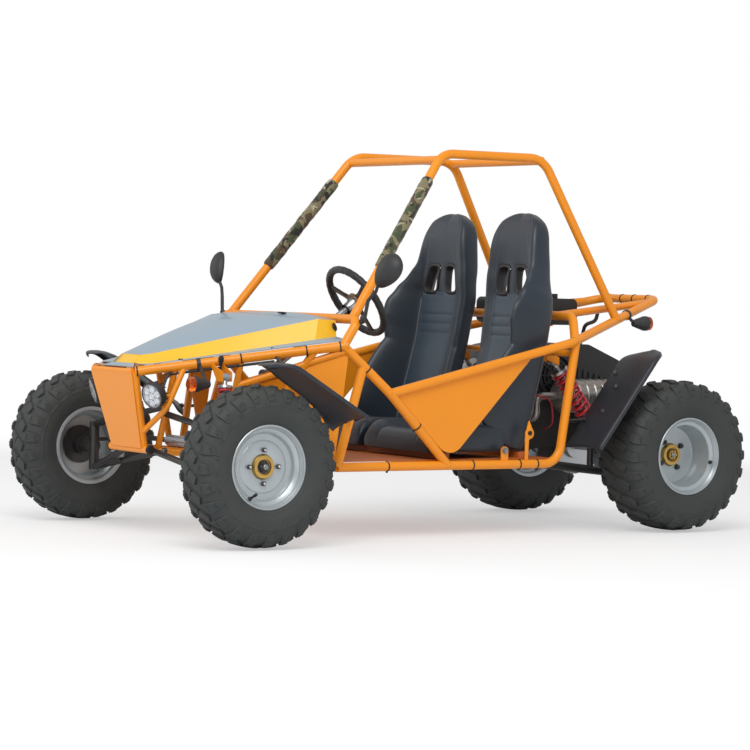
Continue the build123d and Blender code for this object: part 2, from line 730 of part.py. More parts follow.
def muffler():
    profile = [(0, 0), (40, 0), (60, 16)]
    for rib in range(6):
        start = 30 + rib * 36
        profile += [(60, start), (63, start + 4), (63, start + 16), (60, start + 20)]
    profile += [(60, 264), (40, 280), (0, 280)]
    side = 90 + seat_gap
    lug = Location((-760, (side + 140) / 2, 476)) * Box(44, 140 - side, 34)
    return turned(profile, (-620, 165, 476), (-1, 0, 0)) + lug


def fuel_tank():
    front = seat_hoop_corner[0] - main_r - seat_gap
    tank = Location((front - 70, 0, 785)) * Box(140, 440, 96)
    tank = fillet(tank.edges().filter_by(Axis.Y), 22)
    return tank + Location((front - 70, 150, 838)) * Cylinder(26, 24)


# Turn signals: lens foot, facing, place on the rail that carries it, that rail
signals = [((1002, 326, 525), 1, 930, hood_rail), ((-922, 300, 748), -1, -845, upper_rail)]


def lamp_bodies():
    """Headlamp cups, and turn signal cones on stalks from the frame."""
    cup = [(0, -lamp_depth), (20, -lamp_depth), (42, -28), (46, -6), (46, 0), (0, 0)]
    bodies = both_sides(turned(cup, lamp_centre, (1, 0, 0)))
    cone = [(0, 0), (12, 0), (26, 46), (26, 62), (0, 62)]
    for (x, y, z), ahead, rail_x, rail in signals:
        body = turned(cone, (x - 62 * ahead, y, z), (ahead, 0, 0))
        foot = at_x(*rail.points[:2], rail_x) if rail is hood_rail else at_x(*rail.points[1:3], rail_x)
        body += coped(Tube((foot, (x - 56 * ahead, y, z)), 6, ()), rail)
        bodies += both_sides(body)
    return bodies


def headlamp_lenses():
    x, y, z = lamp_centre
    return both_sides(turned([(0, 0), (43, 0), (43, 3), (28, 7), (0, 8)], (x + seat_gap, y, z), (1, 0, 0)))


def turn_lenses():
    profile = [(0, 0), (25, 0), (25, 14), (16, 20), (0, 20)]
    bodies = []
    for (x, y, z), ahead, rail_x, rail in signals:
        bodies += both_sides(turned(profile, (x + seat_gap * ahead, y, z), (ahead, 0, 0)))
    return bodies


def pedals():
    """Brake and throttle pads on arms that stand on the floor."""
    base_z = floor_front[2] + main_r + weld_gap + pan_t + seat_gap
    bodies = []
    for y in (driver_y - 70, driver_y + 70):
        foot = Location((floor_front[0] - 60, y, base_z + 9)) * Box(46, 26, 18)
        top = (floor_front[0] - 104, y, base_z + 150)
        pad = Plane(origin=top, z_dir=(-cos(0.4), 0, sin(0.4))) * Box(70, 64, 8)
        bodies.append(foot + rod((floor_front[0] - 60, y, base_z + 10), top, 6) + pad)
    return bodies


def mirrors():
    """Oval mirror head on a bent stalk that stands on the end of the dash hoop."""
    base = (dash_corner[0] - 4, dash_corner[1] + 26, dash_corner[2] - 8)
    stalk = make(Tube((base, (base[0] - 6, base[1] + 14, 815), (392, 540, 862)), 6, (24,)))
    head = Plane(origin=(392, 545, 905), z_dir=(1, 0, 0.1)) * extrude(Ellipse(50, 68), amount=34, taper=14)
    foot = rod((base[0], dash_corner[1] - 4, base[2]), (base[0], base[1] + 6, base[2]), 9)
    body = stalk + head + foot
    return both_sides(body - make(dash_hoop, weld_gap))


# Seat back sections up the lean: height, width, depth
SeatSection = namedtuple("SeatSection", "height width depth")
seat_sections = [
    SeatSection(0, 400, 90), SeatSection(180, 425, 112), SeatSection(500, 425, 116),
    SeatSection(640, 330, 92), SeatSection(790, 285, 76), SeatSection(850, 215, 56),
]


def seat_front_at(height):
    """Point on the front of the seat back, seen from the side, at a height up its lean."""
    lean = radians(seat_lean)
    low, high = seat_sections[0], seat_sections[1]
    depth = low.depth + (high.depth - low.depth) * height / high.height
    x = seat_rear_x - height * sin(lean) + depth * cos(lean)
    return x, seat_base_z + height * cos(lean) + depth * sin(lean)


def seat_cushion(side):
    low_x, low_z = seat_front_at(0)
    high_x, high_z = seat_front_at(cushion_t)
    slope = (high_x - low_x) / (high_z - low_z)
    top = seat_base_z + cushion_t
    rear_top = low_x + (top - low_z) * slope + seat_gap
    rear_low = low_x + (seat_base_z - low_z) * slope + seat_gap
    outline = FilletPolyline(
        (seat_front_x, 0, seat_base_z), (seat_front_x, 0, top), (rear_top, 0, top),
        (rear_low, 0, seat_base_z), radius=(14, 34, 4, 4), close=True,
    )
    middle = Location((0, side * seat_pitch / 2, 0))
    return extrude(middle * make_face(outline), amount=seat_width / 2 - 6, both=True)


def seat_back(side):
    lean = radians(seat_lean)
    origin = (seat_rear_x, side * seat_pitch / 2, seat_base_z)
    base = Plane(origin=origin, x_dir=(0, 1, 0), z_dir=(-sin(lean), 0, cos(lean)))
    faces = []
    for s in seat_sections:
        middle = Location((0, -s.depth / 2, s.height))
        faces.append(base * middle * RectangleRounded(s.width, s.depth, seat_corner))
    return loft(faces, ruled=True)


def pillar_sleeves():
    line = (pillar_foot, roof_front)
    ends = [between(*line, share) for share in (0.30, 0.84)]
    sleeve = rod(*ends, main_r + 7) - rod(between(*line, 0.25), between(*line, 0.9), main_r + seat_gap)
    return both_sides(sleeve)


# Fender paths: steps from the axle, with z over the tyre's top; slope runs on from the crest
Fender = namedtuple("Fender", "tip crest foot inner outer")
front_fender = Fender((7, 66), (-56, 82), (-375, -222), 530, 700)
rear_fender = Fender((112, 112), (167, 88), (250, -331), 380, 590)


def fender_points(shape, axle_x, radius):
    top = 2 * radius
    tip = (axle_x + shape.tip[0], 0, top + shape.tip[1])
    crest = (axle_x + shape.crest[0], 0, top + shape.crest[1])
    return tip, crest, (crest[0] + shape.foot[0], 0, crest[2] + shape.foot[1])


def fender(points, shape):
    """Bent strip of sheet between two widths."""
    path = FilletPolyline(*points, radius=fender_bend)
    strip = make_face(offset(path, amount=fender_t / 2, side=Side.BOTH))
    middle = Location((0, (shape.inner + shape.outer) / 2, 0))
    return extrude(middle * strip, amount=(shape.outer - shape.inner) / 2, both=True)


def on_fender(points, shape, x):
    spot = at_x(points[1], points[2], x)
    return (spot[0], shape.inner + fender_lap, spot[2])


def front_fenders():
    points = fender_points(front_fender, front_axle_x, front_tyre_r)
    body = fender(points, front_fender)
    for start, tube, x in (
        (at_x(nose_top, cowl_node, 700), hood_rail, 700),
        (at_z(*front_post.points, 416), front_post, 500),
    ):
        body += coped(Tube((start, on_fender(points, front_fender, x)), stay_r, ()), tube)
    return both_sides(body)


def rear_fenders():
    points = fender_points(rear_fender, rear_axle_x, rear_tyre_r)
    body = fender(points, rear_fender)
    for start, tube, x in (
        (at_z(floor_rear, rear_post_top, 400), floor_rail, -564),
        (at_x(rail_bend, rack_corner, -690), upper_rail, -735),
    ):
        body += coped(Tube((start, on_fender(points, rear_fender, x)), stay_r, ()), tube)
    return both_sides(body)


def save_all():
    os.makedirs("parts", exist_ok=True)
    frame_nodes()
    save("floor_pan", floor_pan())
    save("side_panels", *both_sides(door_panel()), *both_sides(foot_panel()))
    save("front_panel", front_panel())
    save("hood", hood())
    front_wheels()
    rear_wheels()
    save("knuckle_left", knuckle())
    save("knuckle_right", mirror(knuckle(), about=Plane.XZ))
    save("steering_rack", steering_rack())
    save("steering_column", *steering_column())
    save("steering_wheel", steering_wheel())
    save("front_arms", *front_arms())
    save("dampers", *dampers())
    save("springs", *springs())
    save("swing_arm", swing_arm())
    save("engine", engine())
    save("engine_shroud", engine_shroud())
    save("muffler", muffler())
    save("fuel_tank", fuel_tank())
    save("lamp_bodies", *lamp_bodies())
    save("headlamp_lenses", *headlamp_lenses())
    save("turn_lenses", *turn_lenses())
    save("mirrors", *mirrors())
    save("pedals", *pedals())
    for side, word in ((1, "left"), (-1, "right")):
        save(f"seat_cushion_{word}", seat_cushion(side))
        save(f"seat_back_{word}", seat_back(side))
    save("pillar_sleeves", *pillar_sleeves())
    save("front_fenders", *front_fenders())
    save("rear_fenders", *rear_fenders())


save_all()
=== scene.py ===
import bmesh
import bpy
from math import cos, exp, pi, radians, sin, tan
from mathutils import Matrix, Vector, noise


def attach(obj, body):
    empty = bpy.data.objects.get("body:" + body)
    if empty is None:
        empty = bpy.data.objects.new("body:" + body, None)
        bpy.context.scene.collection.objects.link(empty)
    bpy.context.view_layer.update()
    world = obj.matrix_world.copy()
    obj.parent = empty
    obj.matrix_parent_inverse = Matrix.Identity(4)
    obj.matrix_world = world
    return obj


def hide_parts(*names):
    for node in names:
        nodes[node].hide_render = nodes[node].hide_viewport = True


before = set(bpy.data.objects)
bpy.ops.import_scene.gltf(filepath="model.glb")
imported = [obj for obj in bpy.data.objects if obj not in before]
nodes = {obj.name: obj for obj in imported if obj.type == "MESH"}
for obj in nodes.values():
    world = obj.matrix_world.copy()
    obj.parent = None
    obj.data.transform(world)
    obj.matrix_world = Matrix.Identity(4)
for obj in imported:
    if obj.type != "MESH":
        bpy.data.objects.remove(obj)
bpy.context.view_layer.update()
mm = 0.001  # shapes are drawn in millimetres and set down in metres


def srgb(red, green, blue):  # 0 to 255 as seen on screen, to the linear value that a shader takes
    return tuple(v / 255 / 12.92 if v <= 10 else ((v / 255 + 0.055) / 1.055) ** 2.4 for v in (red, green, blue)) + (1.0,)


# Shader groups

def setInputs(node, **values):
    for key, value in values.items():
        node.inputs[key.replace("_", " ")].default_value = value


def addNode(tree, kind, **values):
    node = tree.nodes.new("ShaderNode" + kind)
    for key, value in values.items():
        if hasattr(node, key):
            setattr(node, key, value)
        else:
            setInputs(node, **{key: value})
    return node


def link(tree, source, target):
    tree.links.new(source, target)


def newGroup(name, inputs, outputs):
    tree = bpy.data.node_groups.new(name, "ShaderNodeTree")
    for label, kind, value in inputs:
        socket = tree.interface.new_socket(label, in_out="INPUT", socket_type="NodeSocket" + kind)
        socket.default_value = value
    for label, kind in outputs:
        tree.interface.new_socket(label, in_out="OUTPUT", socket_type="NodeSocket" + kind)
    return tree, tree.nodes.new("NodeGroupInput"), tree.nodes.new("NodeGroupOutput")


def maths(tree, operation, first, second):
    node = addNode(tree, "Math", operation=operation)
    for socket, value in zip(node.inputs, (first, second)):
        if isinstance(value, (int, float)):
            socket.default_value = value
        else:
            link(tree, value, socket)
    return node.outputs[0]


def mixColors(tree, factor, first, second, blend="MIX"):
    node = addNode(tree, "Mix", data_type="RGBA", blend_type=blend)
    for socket, value in zip((node.inputs[0], node.inputs[6], node.inputs[7]), (factor, first, second)):
        if isinstance(value, (int, float, tuple)):
            socket.default_value = value
        else:
            link(tree, value, socket)
    return node.outputs[2]


def makeSurfaceGrain():  # slow drift of colour and gloss, with a fine grain in the relief
    tree, start, end = newGroup(
        "surfaceGrain",
        [("Color", "Color", (0.5, 0.5, 0.5, 1)), ("Drift", "Float", 0.2), ("Rough", "Float", 0.4),
         ("Rough Drift", "Float", 0.1), ("Patch Scale", "Float", 6.0), ("Grain Scale", "Float", 300.0)],
        [("Color", "Color"), ("Roughness", "Float"), ("Height", "Float")],
    )
    place = addNode(tree, "TexCoord")
    patch = addNode(tree, "TexNoise", Detail=4.0)
    grain = addNode(tree, "TexNoise", Detail=3.0)
    for node, scale in ((patch, "Patch Scale"), (grain, "Grain Scale")):
        link(tree, place.outputs["Object"], node.inputs["Vector"])
        link(tree, start.outputs[scale], node.inputs["Scale"])
    swing = maths(tree, "SUBTRACT", patch.outputs[0], 0.5)
    shade = maths(tree, "ADD", maths(tree, "MULTIPLY", swing, start.outputs["Drift"]), 1.0)
    gray = addNode(tree, "CombineColor")
    for socket in gray.inputs:
        link(tree, shade, socket)
    link(tree, mixColors(tree, 1.0, start.outputs["Color"], gray.outputs[0], "MULTIPLY"), end.inputs["Color"])
    rough = maths(tree, "ADD", start.outputs["Rough"], maths(tree, "MULTIPLY", swing, start.outputs["Rough Drift"]))
    link(tree, rough, end.inputs["Roughness"])
    link(tree, grain.outputs[0], end.inputs["Height"])
    return tree


def makeSettledDust():  # pale dust that lies thicker on what faces up
    tree, start, end = newGroup(
        "settledDust",
        [("Color", "Color", (0.5, 0.5, 0.5, 1)), ("Roughness", "Float", 0.5),
         ("Dust", "Color", srgb(150, 138, 120)), ("Amount", "Float", 0.2)],
        [("Color", "Color"), ("Roughness", "Float")],
    )
    place = addNode(tree, "TexCoord")
    cloud = addNode(tree, "TexNoise", Scale=14.0, Detail=6.0)
    link(tree, place.outputs["Object"], cloud.inputs["Vector"])
    split = addNode(tree, "SeparateXYZ")
    link(tree, place.outputs["Normal"], split.inputs[0])
    upward = maths(tree, "ADD", maths(tree, "MULTIPLY", split.outputs[2], 0.4), 0.6)
    mask = maths(tree, "MULTIPLY", maths(tree, "MULTIPLY", upward, cloud.outputs[0]), start.outputs["Amount"])
    link(tree, mixColors(tree, mask, start.outputs["Color"], start.outputs["Dust"]), end.inputs["Color"])
    link(tree, maths(tree, "ADD", start.outputs["Roughness"], maths(tree, "MULTIPLY", mask, 0.5)), end.inputs["Roughness"])
    return tree


def makePebbleGrain():  # the pebbled grain of vinyl and soft grips
    tree, start, end = newGroup(
        "pebbleGrain", [("Scale", "Float", 500.0), ("Crease", "Float", 0.3)], [("Height", "Float")]
    )
    place = addNode(tree, "TexCoord")
    cells = addNode(tree, "TexVoronoi", feature="SMOOTH_F1", Smoothness=0.6)
    creases = addNode(tree, "TexNoise", Scale=18.0, Detail=5.0, Distortion=0.8)
    link(tree, place.outputs["Object"], cells.inputs["Vector"])
    link(tree, place.outputs["Object"], creases.inputs["Vector"])
    link(tree, start.outputs["Scale"], cells.inputs["Scale"])
    creased = maths(tree, "MULTIPLY", creases.outputs[0], start.outputs["Crease"])
    link(tree, maths(tree, "ADD", cells.outputs["Distance"], creased), end.inputs["Height"])
    return tree


surfaceGrain, settledDust, pebbleGrain = makeSurfaceGrain(), makeSettledDust(), makePebbleGrain()


def useGroup(tree, group, **values):
    node = tree.nodes.new("ShaderNodeGroup")
    node.node_tree = group
    setInputs(node, **values)
    return node


def newMaterial(name):
    material = bpy.data.materials.new(name)
    material.use_nodes = True
    return material, material.node_tree, material.node_tree.nodes["Principled BSDF"]


def addBump(tree, shader, height, strength, distance):
    bump = addNode(tree, "Bump", Strength=strength, Distance=distance)
    link(tree, height, bump.inputs["Height"])
    link(tree, bump.outputs[0], shader.inputs["Normal"])


def makeFinish(name, color, rough, drift=0.12, roughDrift=0.15, patch=7.0, grain=400.0, bump=0.05, depth=0.0004,
               dust=0.0, **sockets):
    material, tree, shader = newMaterial(name)
    skin = useGroup(tree, surfaceGrain, Color=srgb(*color), Drift=drift, Rough=rough, Rough_Drift=roughDrift,
                    Patch_Scale=patch, Grain_Scale=grain)
    top = skin
    if dust:
        top = useGroup(tree, settledDust, Amount=dust)
        link(tree, skin.outputs["Color"], top.inputs["Color"])
        link(tree, skin.outputs["Roughness"], top.inputs["Roughness"])
    link(tree, top.outputs["Color"], shader.inputs["Base Color"])
    link(tree, top.outputs["Roughness"], shader.inputs["Roughness"])
    addBump(tree, shader, skin.outputs["Height"], bump, depth)
    setInputs(shader, **sockets)
    return material


def makeVinyl(name, color, rough, scale):
    material, tree, shader = newMaterial(name)
    skin = useGroup(tree, surfaceGrain, Color=srgb(*color), Drift=0.25, Rough=rough, Rough_Drift=0.18, Patch_Scale=5.0)
    grain = useGroup(tree, pebbleGrain, Scale=scale, Crease=0.9)
    link(tree, skin.outputs["Color"], shader.inputs["Base Color"])
    link(tree, skin.outputs["Roughness"], shader.inputs["Roughness"])
    addBump(tree, shader, grain.outputs["Height"], 0.22, 0.0012)
    setInputs(shader, Sheen_Weight=0.12)
    return material


camo = {
    "scale": 26.0, "edge": 0.012,
    "ground": (128, 118, 88),
    "blotches": [  # colour, offset of the noise, level above which it shows
        ((66, 76, 48), 0.0, 0.52), ((82, 62, 46), 3.7, 0.56), ((34, 34, 30), 7.1, 0.61), ((168, 158, 132), 11.3, 0.62),
    ],
}


def makeCamoCloth(name):  # woven cloth printed with blotches of five colours
    material, tree, shader = newMaterial(name)
    place = addNode(tree, "TexCoord")
    color = srgb(*camo["ground"])
    for tone, offset, level in camo["blotches"]:
        shift = addNode(tree, "Mapping", Location=(offset, offset * 0.7, offset * 1.3))
        blotch = addNode(tree, "TexNoise", Scale=camo["scale"], Detail=1.5, Distortion=0.6)
        link(tree, place.outputs["Object"], shift.inputs["Vector"])
        link(tree, shift.outputs[0], blotch.inputs["Vector"])
        edge = addNode(tree, "MapRange", From_Min=level - camo["edge"], From_Max=level + camo["edge"])
        link(tree, blotch.outputs[0], edge.inputs["Value"])
        color = mixColors(tree, edge.outputs[0], color, srgb(*tone))
    link(tree, color, shader.inputs["Base Color"])
    weave = [addNode(tree, "TexWave", bands_direction=way, Scale=260.0, Distortion=1.2) for way in ("X", "Z")]
    for wave in weave:
        link(tree, place.outputs["Object"], wave.inputs["Vector"])
    addBump(tree, shader, maths(tree, "ADD", weave[0].outputs[1], weave[1].outputs[1]), 0.35, 0.0007)
    setInputs(shader, Roughness=0.85, Sheen_Weight=0.25)
    return material


def makeLens(name, color, rough):
    material, tree, shader = newMaterial(name)
    place = addNode(tree, "TexCoord")
    flutes = addNode(tree, "TexWave", bands_direction="Z", Scale=110.0)
    link(tree, place.outputs["Object"], flutes.inputs["Vector"])
    addBump(tree, shader, flutes.outputs[1], 0.15, 0.0006)
    setInputs(shader, Base_Color=srgb(*color), Roughness=rough, Transmission_Weight=0.85, IOR=1.45)
    return material


paints = {
    "orangePaint": dict(color=(240, 146, 26), rough=0.36, drift=0.1, roughDrift=0.2, grain=160.0, bump=0.03,
                        Coat_Weight=0.25, Coat_Roughness=0.15, Specular_IOR_Level=0.3),
    "floorPaint": dict(color=(196, 100, 24), rough=0.45, drift=0.2, dust=0.25, bump=0.1),
    "hoodYellow": dict(color=(246, 190, 36), rough=0.46, drift=0.06, grain=90.0, bump=0.02, Coat_Weight=0.2,
                       Coat_Roughness=0.2),
    "hoodGrey": dict(color=(146, 165, 179), rough=0.4, drift=0.12, grain=700.0, bump=0.1, Coat_Weight=0.3),
    "blackPaint": dict(color=(34, 35, 37), rough=0.38, grain=220.0, bump=0.08, dust=0.12, Coat_Weight=0.25),
    "blackPlastic": dict(color=(38, 40, 43), rough=0.5, grain=900.0, bump=0.2, dust=0.06),
    "fenderPlastic": dict(color=(33, 40, 49), rough=0.38, drift=0.2, grain=650.0, bump=0.1, dust=0.06),
    "rubber": dict(color=(44, 50, 51), rough=0.66, drift=0.3, patch=11.0, grain=520.0, bump=0.35, depth=0.0008, dust=0.13),
    "trimRubber": dict(color=(26, 26, 27), rough=0.6, grain=600.0, bump=0.2),
    "rimSilver": dict(color=(178, 186, 190), rough=0.34, drift=0.08, grain=500.0, bump=0.06, dust=0.06, Metallic=0.55,
                      Coat_Weight=0.3),
    "zincGold": dict(color=(206, 168, 92), rough=0.36, drift=0.5, patch=30.0, grain=380.0, bump=0.1, Metallic=0.9),
    "springRed": dict(color=(186, 24, 36), rough=0.3, grain=260.0, bump=0.05, Coat_Weight=0.5),
    "brightSteel": dict(color=(188, 190, 193), rough=0.28, drift=0.2, grain=620.0, bump=0.08, Metallic=1.0),
    "boltSteel": dict(color=(150, 150, 150), rough=0.35, drift=0.3, grain=500.0, bump=0.1, Metallic=0.95),
    "castMetal": dict(color=(58, 58, 60), rough=0.55, drift=0.3, patch=20.0, grain=260.0, bump=0.4, depth=0.001, dust=0.2,
                      Metallic=0.5),
    "mufflerMetal": dict(color=(172, 170, 166), rough=0.32, drift=0.3, patch=14.0, grain=300.0, bump=0.15, dust=0.15,
                         Metallic=0.9),
    "hubPlate": dict(color=(134, 110, 92), rough=0.4, drift=0.2, grain=400.0, bump=0.1, Metallic=0.6),
    "mirrorGlass": dict(color=(226, 230, 234), rough=0.04, drift=0.03, roughDrift=0.02, bump=0.0, Metallic=1.0),
    "reflector": dict(color=(236, 239, 242), rough=0.12, drift=0.05, grain=200.0, bump=0.05, Metallic=0.9),
}
vinyls = {  # colour, roughness, scale of the pebbles
    "seatVinyl": ((29, 41, 52), 0.36, 620.0),
    "seatPanel": ((44, 61, 75), 0.36, 620.0),
    "seatPiping": ((92, 100, 106), 0.4, 900.0),
    "wheelGrip": ((27, 27, 28), 0.5, 900.0),
}
lenses = {"clearLens": ((250, 252, 255), 0.03), "amberLens": ((255, 128, 24), 0.1)}

finishes = {name: makeFinish(name, **look) for name, look in paints.items()}
finishes.update({name: makeVinyl(name, *look) for name, look in vinyls.items()})
finishes["camoCloth"] = makeCamoCloth("camoCloth")
finishes.update({name: makeLens(name, *look) for name, look in lenses.items()})
print("finishes made:", len(finishes))


# Shapes: lists of corners and faces

def setDown(name, data):
    obj = bpy.data.objects.new(name, data)
    bpy.context.scene.collection.objects.link(obj)
    return obj


class Shape:
    def __init__(self):
        self.corners, self.faces, self.marks = [], [], []

    def add(self, form, matrix=None, mark=0):
        corners, faces = form
        start = len(self.corners)
        self.corners += [(matrix @ Vector(c) if matrix else Vector(c)) for c in corners]
        self.faces += [[i + start for i in face] for face in faces]
        self.marks += [mark] * len(faces)
        return self

    def mirrorAdd(self):  # the same again on the other side of the vehicle
        start, count = len(self.corners), len(self.faces)
        self.corners += [Vector((c.x, -c.y, c.z)) for c in self.corners[:start]]
        self.faces += [[i + start for i in reversed(face)] for face in self.faces[:count]]
        self.marks += self.marks[:count]
        return self

    def piece(self, name, slot, *skins, body="chassis", replaces=(), sharp=40.0, smooth=0):
        mesh = bpy.data.meshes.new(name)
        mesh.from_pydata([c * mm for c in self.corners], [], self.faces)
        mesh.polygons.foreach_set("material_index", self.marks)
        shape = bmesh.new()
        shape.from_mesh(mesh)
        bmesh.ops.remove_doubles(shape, verts=shape.verts, dist=1e-6)
        bmesh.ops.dissolve_degenerate(shape, edges=shape.edges, dist=1e-7)
        bmesh.ops.recalc_face_normals(shape, faces=shape.faces)
        shape.to_mesh(mesh)
        shape.free()
        for skin in skins:
            mesh.materials.append(finishes[skin])
        obj = setDown(name, mesh)
        if smooth:
            mesh = subdivided(obj, smooth)
        mesh.shade_smooth()
        if sharp < 180:
            mesh.set_sharp_from_angle(angle=radians(sharp))
        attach(obj, body)
        if replaces:
            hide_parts(*replaces)
        return obj


def subdivided(obj, levels):
    modifier = obj.modifiers.new("smooth", "SUBSURF")
    modifier.levels = modifier.render_levels = levels
    graph = bpy.context.evaluated_depsgraph_get()
    mesh = bpy.data.meshes.new_from_object(obj.evaluated_get(graph))
    obj.modifiers.clear()
    obj.data = mesh
    return mesh


def thicken(obj, sheet):  # a sheet drawn by its outer face
    thick = obj.modifiers.new("sheet", "SOLIDIFY")
    thick.thickness, thick.offset = sheet * mm, -1.0


def shiftBy(x, y, z):
    return Matrix.Translation((x, y, z))


def turnBy(angle):
    return Matrix.Rotation(angle, 4, "Z")


def axesOf(x, y, z):
    return Matrix((x, y, z)).transposed().to_4x4()


def facing(origin, direction):  # local Z turned to the direction
    return Matrix.Translation(origin) @ Vector(direction).to_track_quat("Z", "Y").to_matrix().to_4x4()


def lathe(profile, steps=64):
    count = len(profile)
    corners = []
    for i in range(steps):
        angle = 2 * pi * i / steps
        corners += [(r * cos(angle), r * sin(angle), d) for r, d in profile]
    faces = []
    for i in range(steps):
        j = (i + 1) % steps
        faces += [(i * count + k, j * count + k, j * count + k + 1, i * count + k + 1) for k in range(count - 1)]
    return corners, faces


def grid(rows, closedRows=False, closedColumns=False):
    width, height = len(rows[0]), len(rows)
    faces = []
    for i in range(height if closedRows else height - 1):
        for k in range(width if closedColumns else width - 1):
            a, b = i * width, ((i + 1) % height) * width
            faces.append((a + k, a + (k + 1) % width, b + (k + 1) % width, b + k))
    return [c for row in rows for c in row], faces


def bent(points, radius, step=9.0):  # a run of straights with its corners rounded
    points = [Vector(p) for p in points]
    path = [points[0]]
    for before, corner, after in zip(points, points[1:], points[2:]):
        back, ahead = (before - corner).normalized(), (after - corner).normalized()
        turn = pi - back.angle(ahead)
        reach = radius * tan(turn / 2)
        middle = corner + (back + ahead).normalized() * (radius / cos(turn / 2))
        start, end = corner + back * reach - middle, corner + ahead * reach - middle
        steps = max(2, int(turn / radians(step)))
        path += [middle + start.slerp(end, i / steps) * radius for i in range(steps + 1)]
    return path + [points[-1]]


def tube(points, radius, sides=14, closed=False):
    points = [Vector(p) for p in points]
    count = len(points)
    across, rows = None, []
    for i, point in enumerate(points):
        if closed:
            way = points[(i + 1) % count] - points[i - 1]
        else:
            way = points[min(i + 1, count - 1)] - points[max(i - 1, 0)]
        way.normalize()
        if across is None:
            across = way.orthogonal()
        across = (across - way * across.dot(way)).normalized()
        third = way.cross(across)
        size = radius[i] if isinstance(radius, list) else radius
        angles = (2 * pi * k / sides for k in range(sides))
        rows.append([point + (across * cos(a) + third * sin(a)) * size for a in angles])
    corners, faces = grid(rows, closedRows=closed, closedColumns=True)
    if not closed:
        faces += [list(range(sides))[::-1], list(range((count - 1) * sides, count * sides))]
    return corners, faces


def prism(outline, depth, edge=0.0):  # an outline in X and Y, thick along Z, its edges eased
    shape = bmesh.new()
    base = [shape.verts.new((x, y, -depth / 2)) for x, y in outline]
    lid = shape.faces.new(base)
    grown = bmesh.ops.extrude_face_region(shape, geom=[lid])["geom"]
    bmesh.ops.translate(shape, verts=[v for v in grown if isinstance(v, bmesh.types.BMVert)], vec=(0, 0, depth))
    if edge:
        bmesh.ops.bevel(shape, geom=shape.edges[:], offset=edge, segments=2, profile=0.5, affect="EDGES")
    shape.verts.index_update()
    form = [tuple(v.co) for v in shape.verts], [[v.index for v in f.verts] for f in shape.faces]
    shape.free()
    return form


def block(x, y, z, edge=1.0):
    return prism([(-x / 2, -y / 2), (x / 2, -y / 2), (x / 2, y / 2), (-x / 2, y / 2)], z, edge)


def ring(radius, count=6, start=0.0):
    return [(radius * cos(start + 2 * pi * i / count), radius * sin(start + 2 * pi * i / count)) for i in range(count)]


def bolt(radius, height):  # washer, six-sided head and a rounded top, standing on Z = 0
    shape = Shape()
    shape.add(lathe([(0, 0), (radius * 1.9, 0), (radius * 1.9, radius * 0.25), (radius, radius * 0.3)], 20))
    shape.add(prism(ring(radius * 1.25), height, radius * 0.12), shiftBy(0, 0, height / 2 + radius * 0.2))
    return shape.corners, shape.faces


def curveThrough(keys, count):  # smooth samples along a few key points
    points = [Vector(k) for k in keys]
    padded = [2 * points[0] - points[1]] + points + [2 * points[-1] - points[-2]]
    samples = []
    for i in range(count):
        t = i / (count - 1) * (len(points) - 1)
        k = min(int(t), len(points) - 2)
        t -= k
        a, b, c, d = padded[k:k + 4]
        square, cube = 2 * a - 5 * b + 4 * c - d, 3 * b - a - 3 * c + d
        samples.append(0.5 * (2 * b + (c - a) * t + square * t ** 2 + cube * t ** 3))
    return samples


def along(keys, t):  # value at t in a table of (t, value), eased between the entries
    for (low, first), (high, second) in zip(keys, keys[1:]):
        if t <= high:
            share = max(0.0, (t - low) / (high - low))
            return first + (second - first) * share * share * (3 - 2 * share)
    return keys[-1][1]


# Tyres

tread = {"lugs": 24, "height": 8.0, "edge": 2.2, "sink": -3, "rings": (203, 150), "ringHeight": 1.6, "ringWidth": 2.2}
tyreFront = {
    "half": [(259, 0), (258, 28), (253.5, 54), (243, 72), (226, 81), (206, 85), (184, 84.5), (164, 79), (149, 71.5),
             (138, 66)],  # radius, distance from the middle
    "shoulder": [(-2, 50, 15), (1, 62, 18), (3, 76, 18), (4, 92, 16), (4, 104, 13)],  # round, across, half width
    "tread": [(-16, 2, 12), (-7, 16, 14), (4, 30, 14), (8, 40, 12)],
    "mark": [(-9, 58), (9, 60), (-7, 86), (10, 90)],
    "nub": [(24, 112), (24, 124)],
}
tyreRear = {
    "half": [(265, 0), (264, 40), (259, 76), (249, 99), (232, 111), (210, 116.5), (187, 115.5), (166, 109), (150, 101),
             (138, 96)],
    "shoulder": [(-2, 78, 14), (1, 92, 17), (3, 106, 17), (4, 120, 15), (4, 132, 12)],
    "tread": [(-18, 2, 11), (-9, 22, 14), (3, 46, 14), (10, 64, 12)],
    "mark": [(-8, 88), (8, 90), (-7, 114), (9, 118)],
    "nub": [(22, 140), (22, 152)],
}


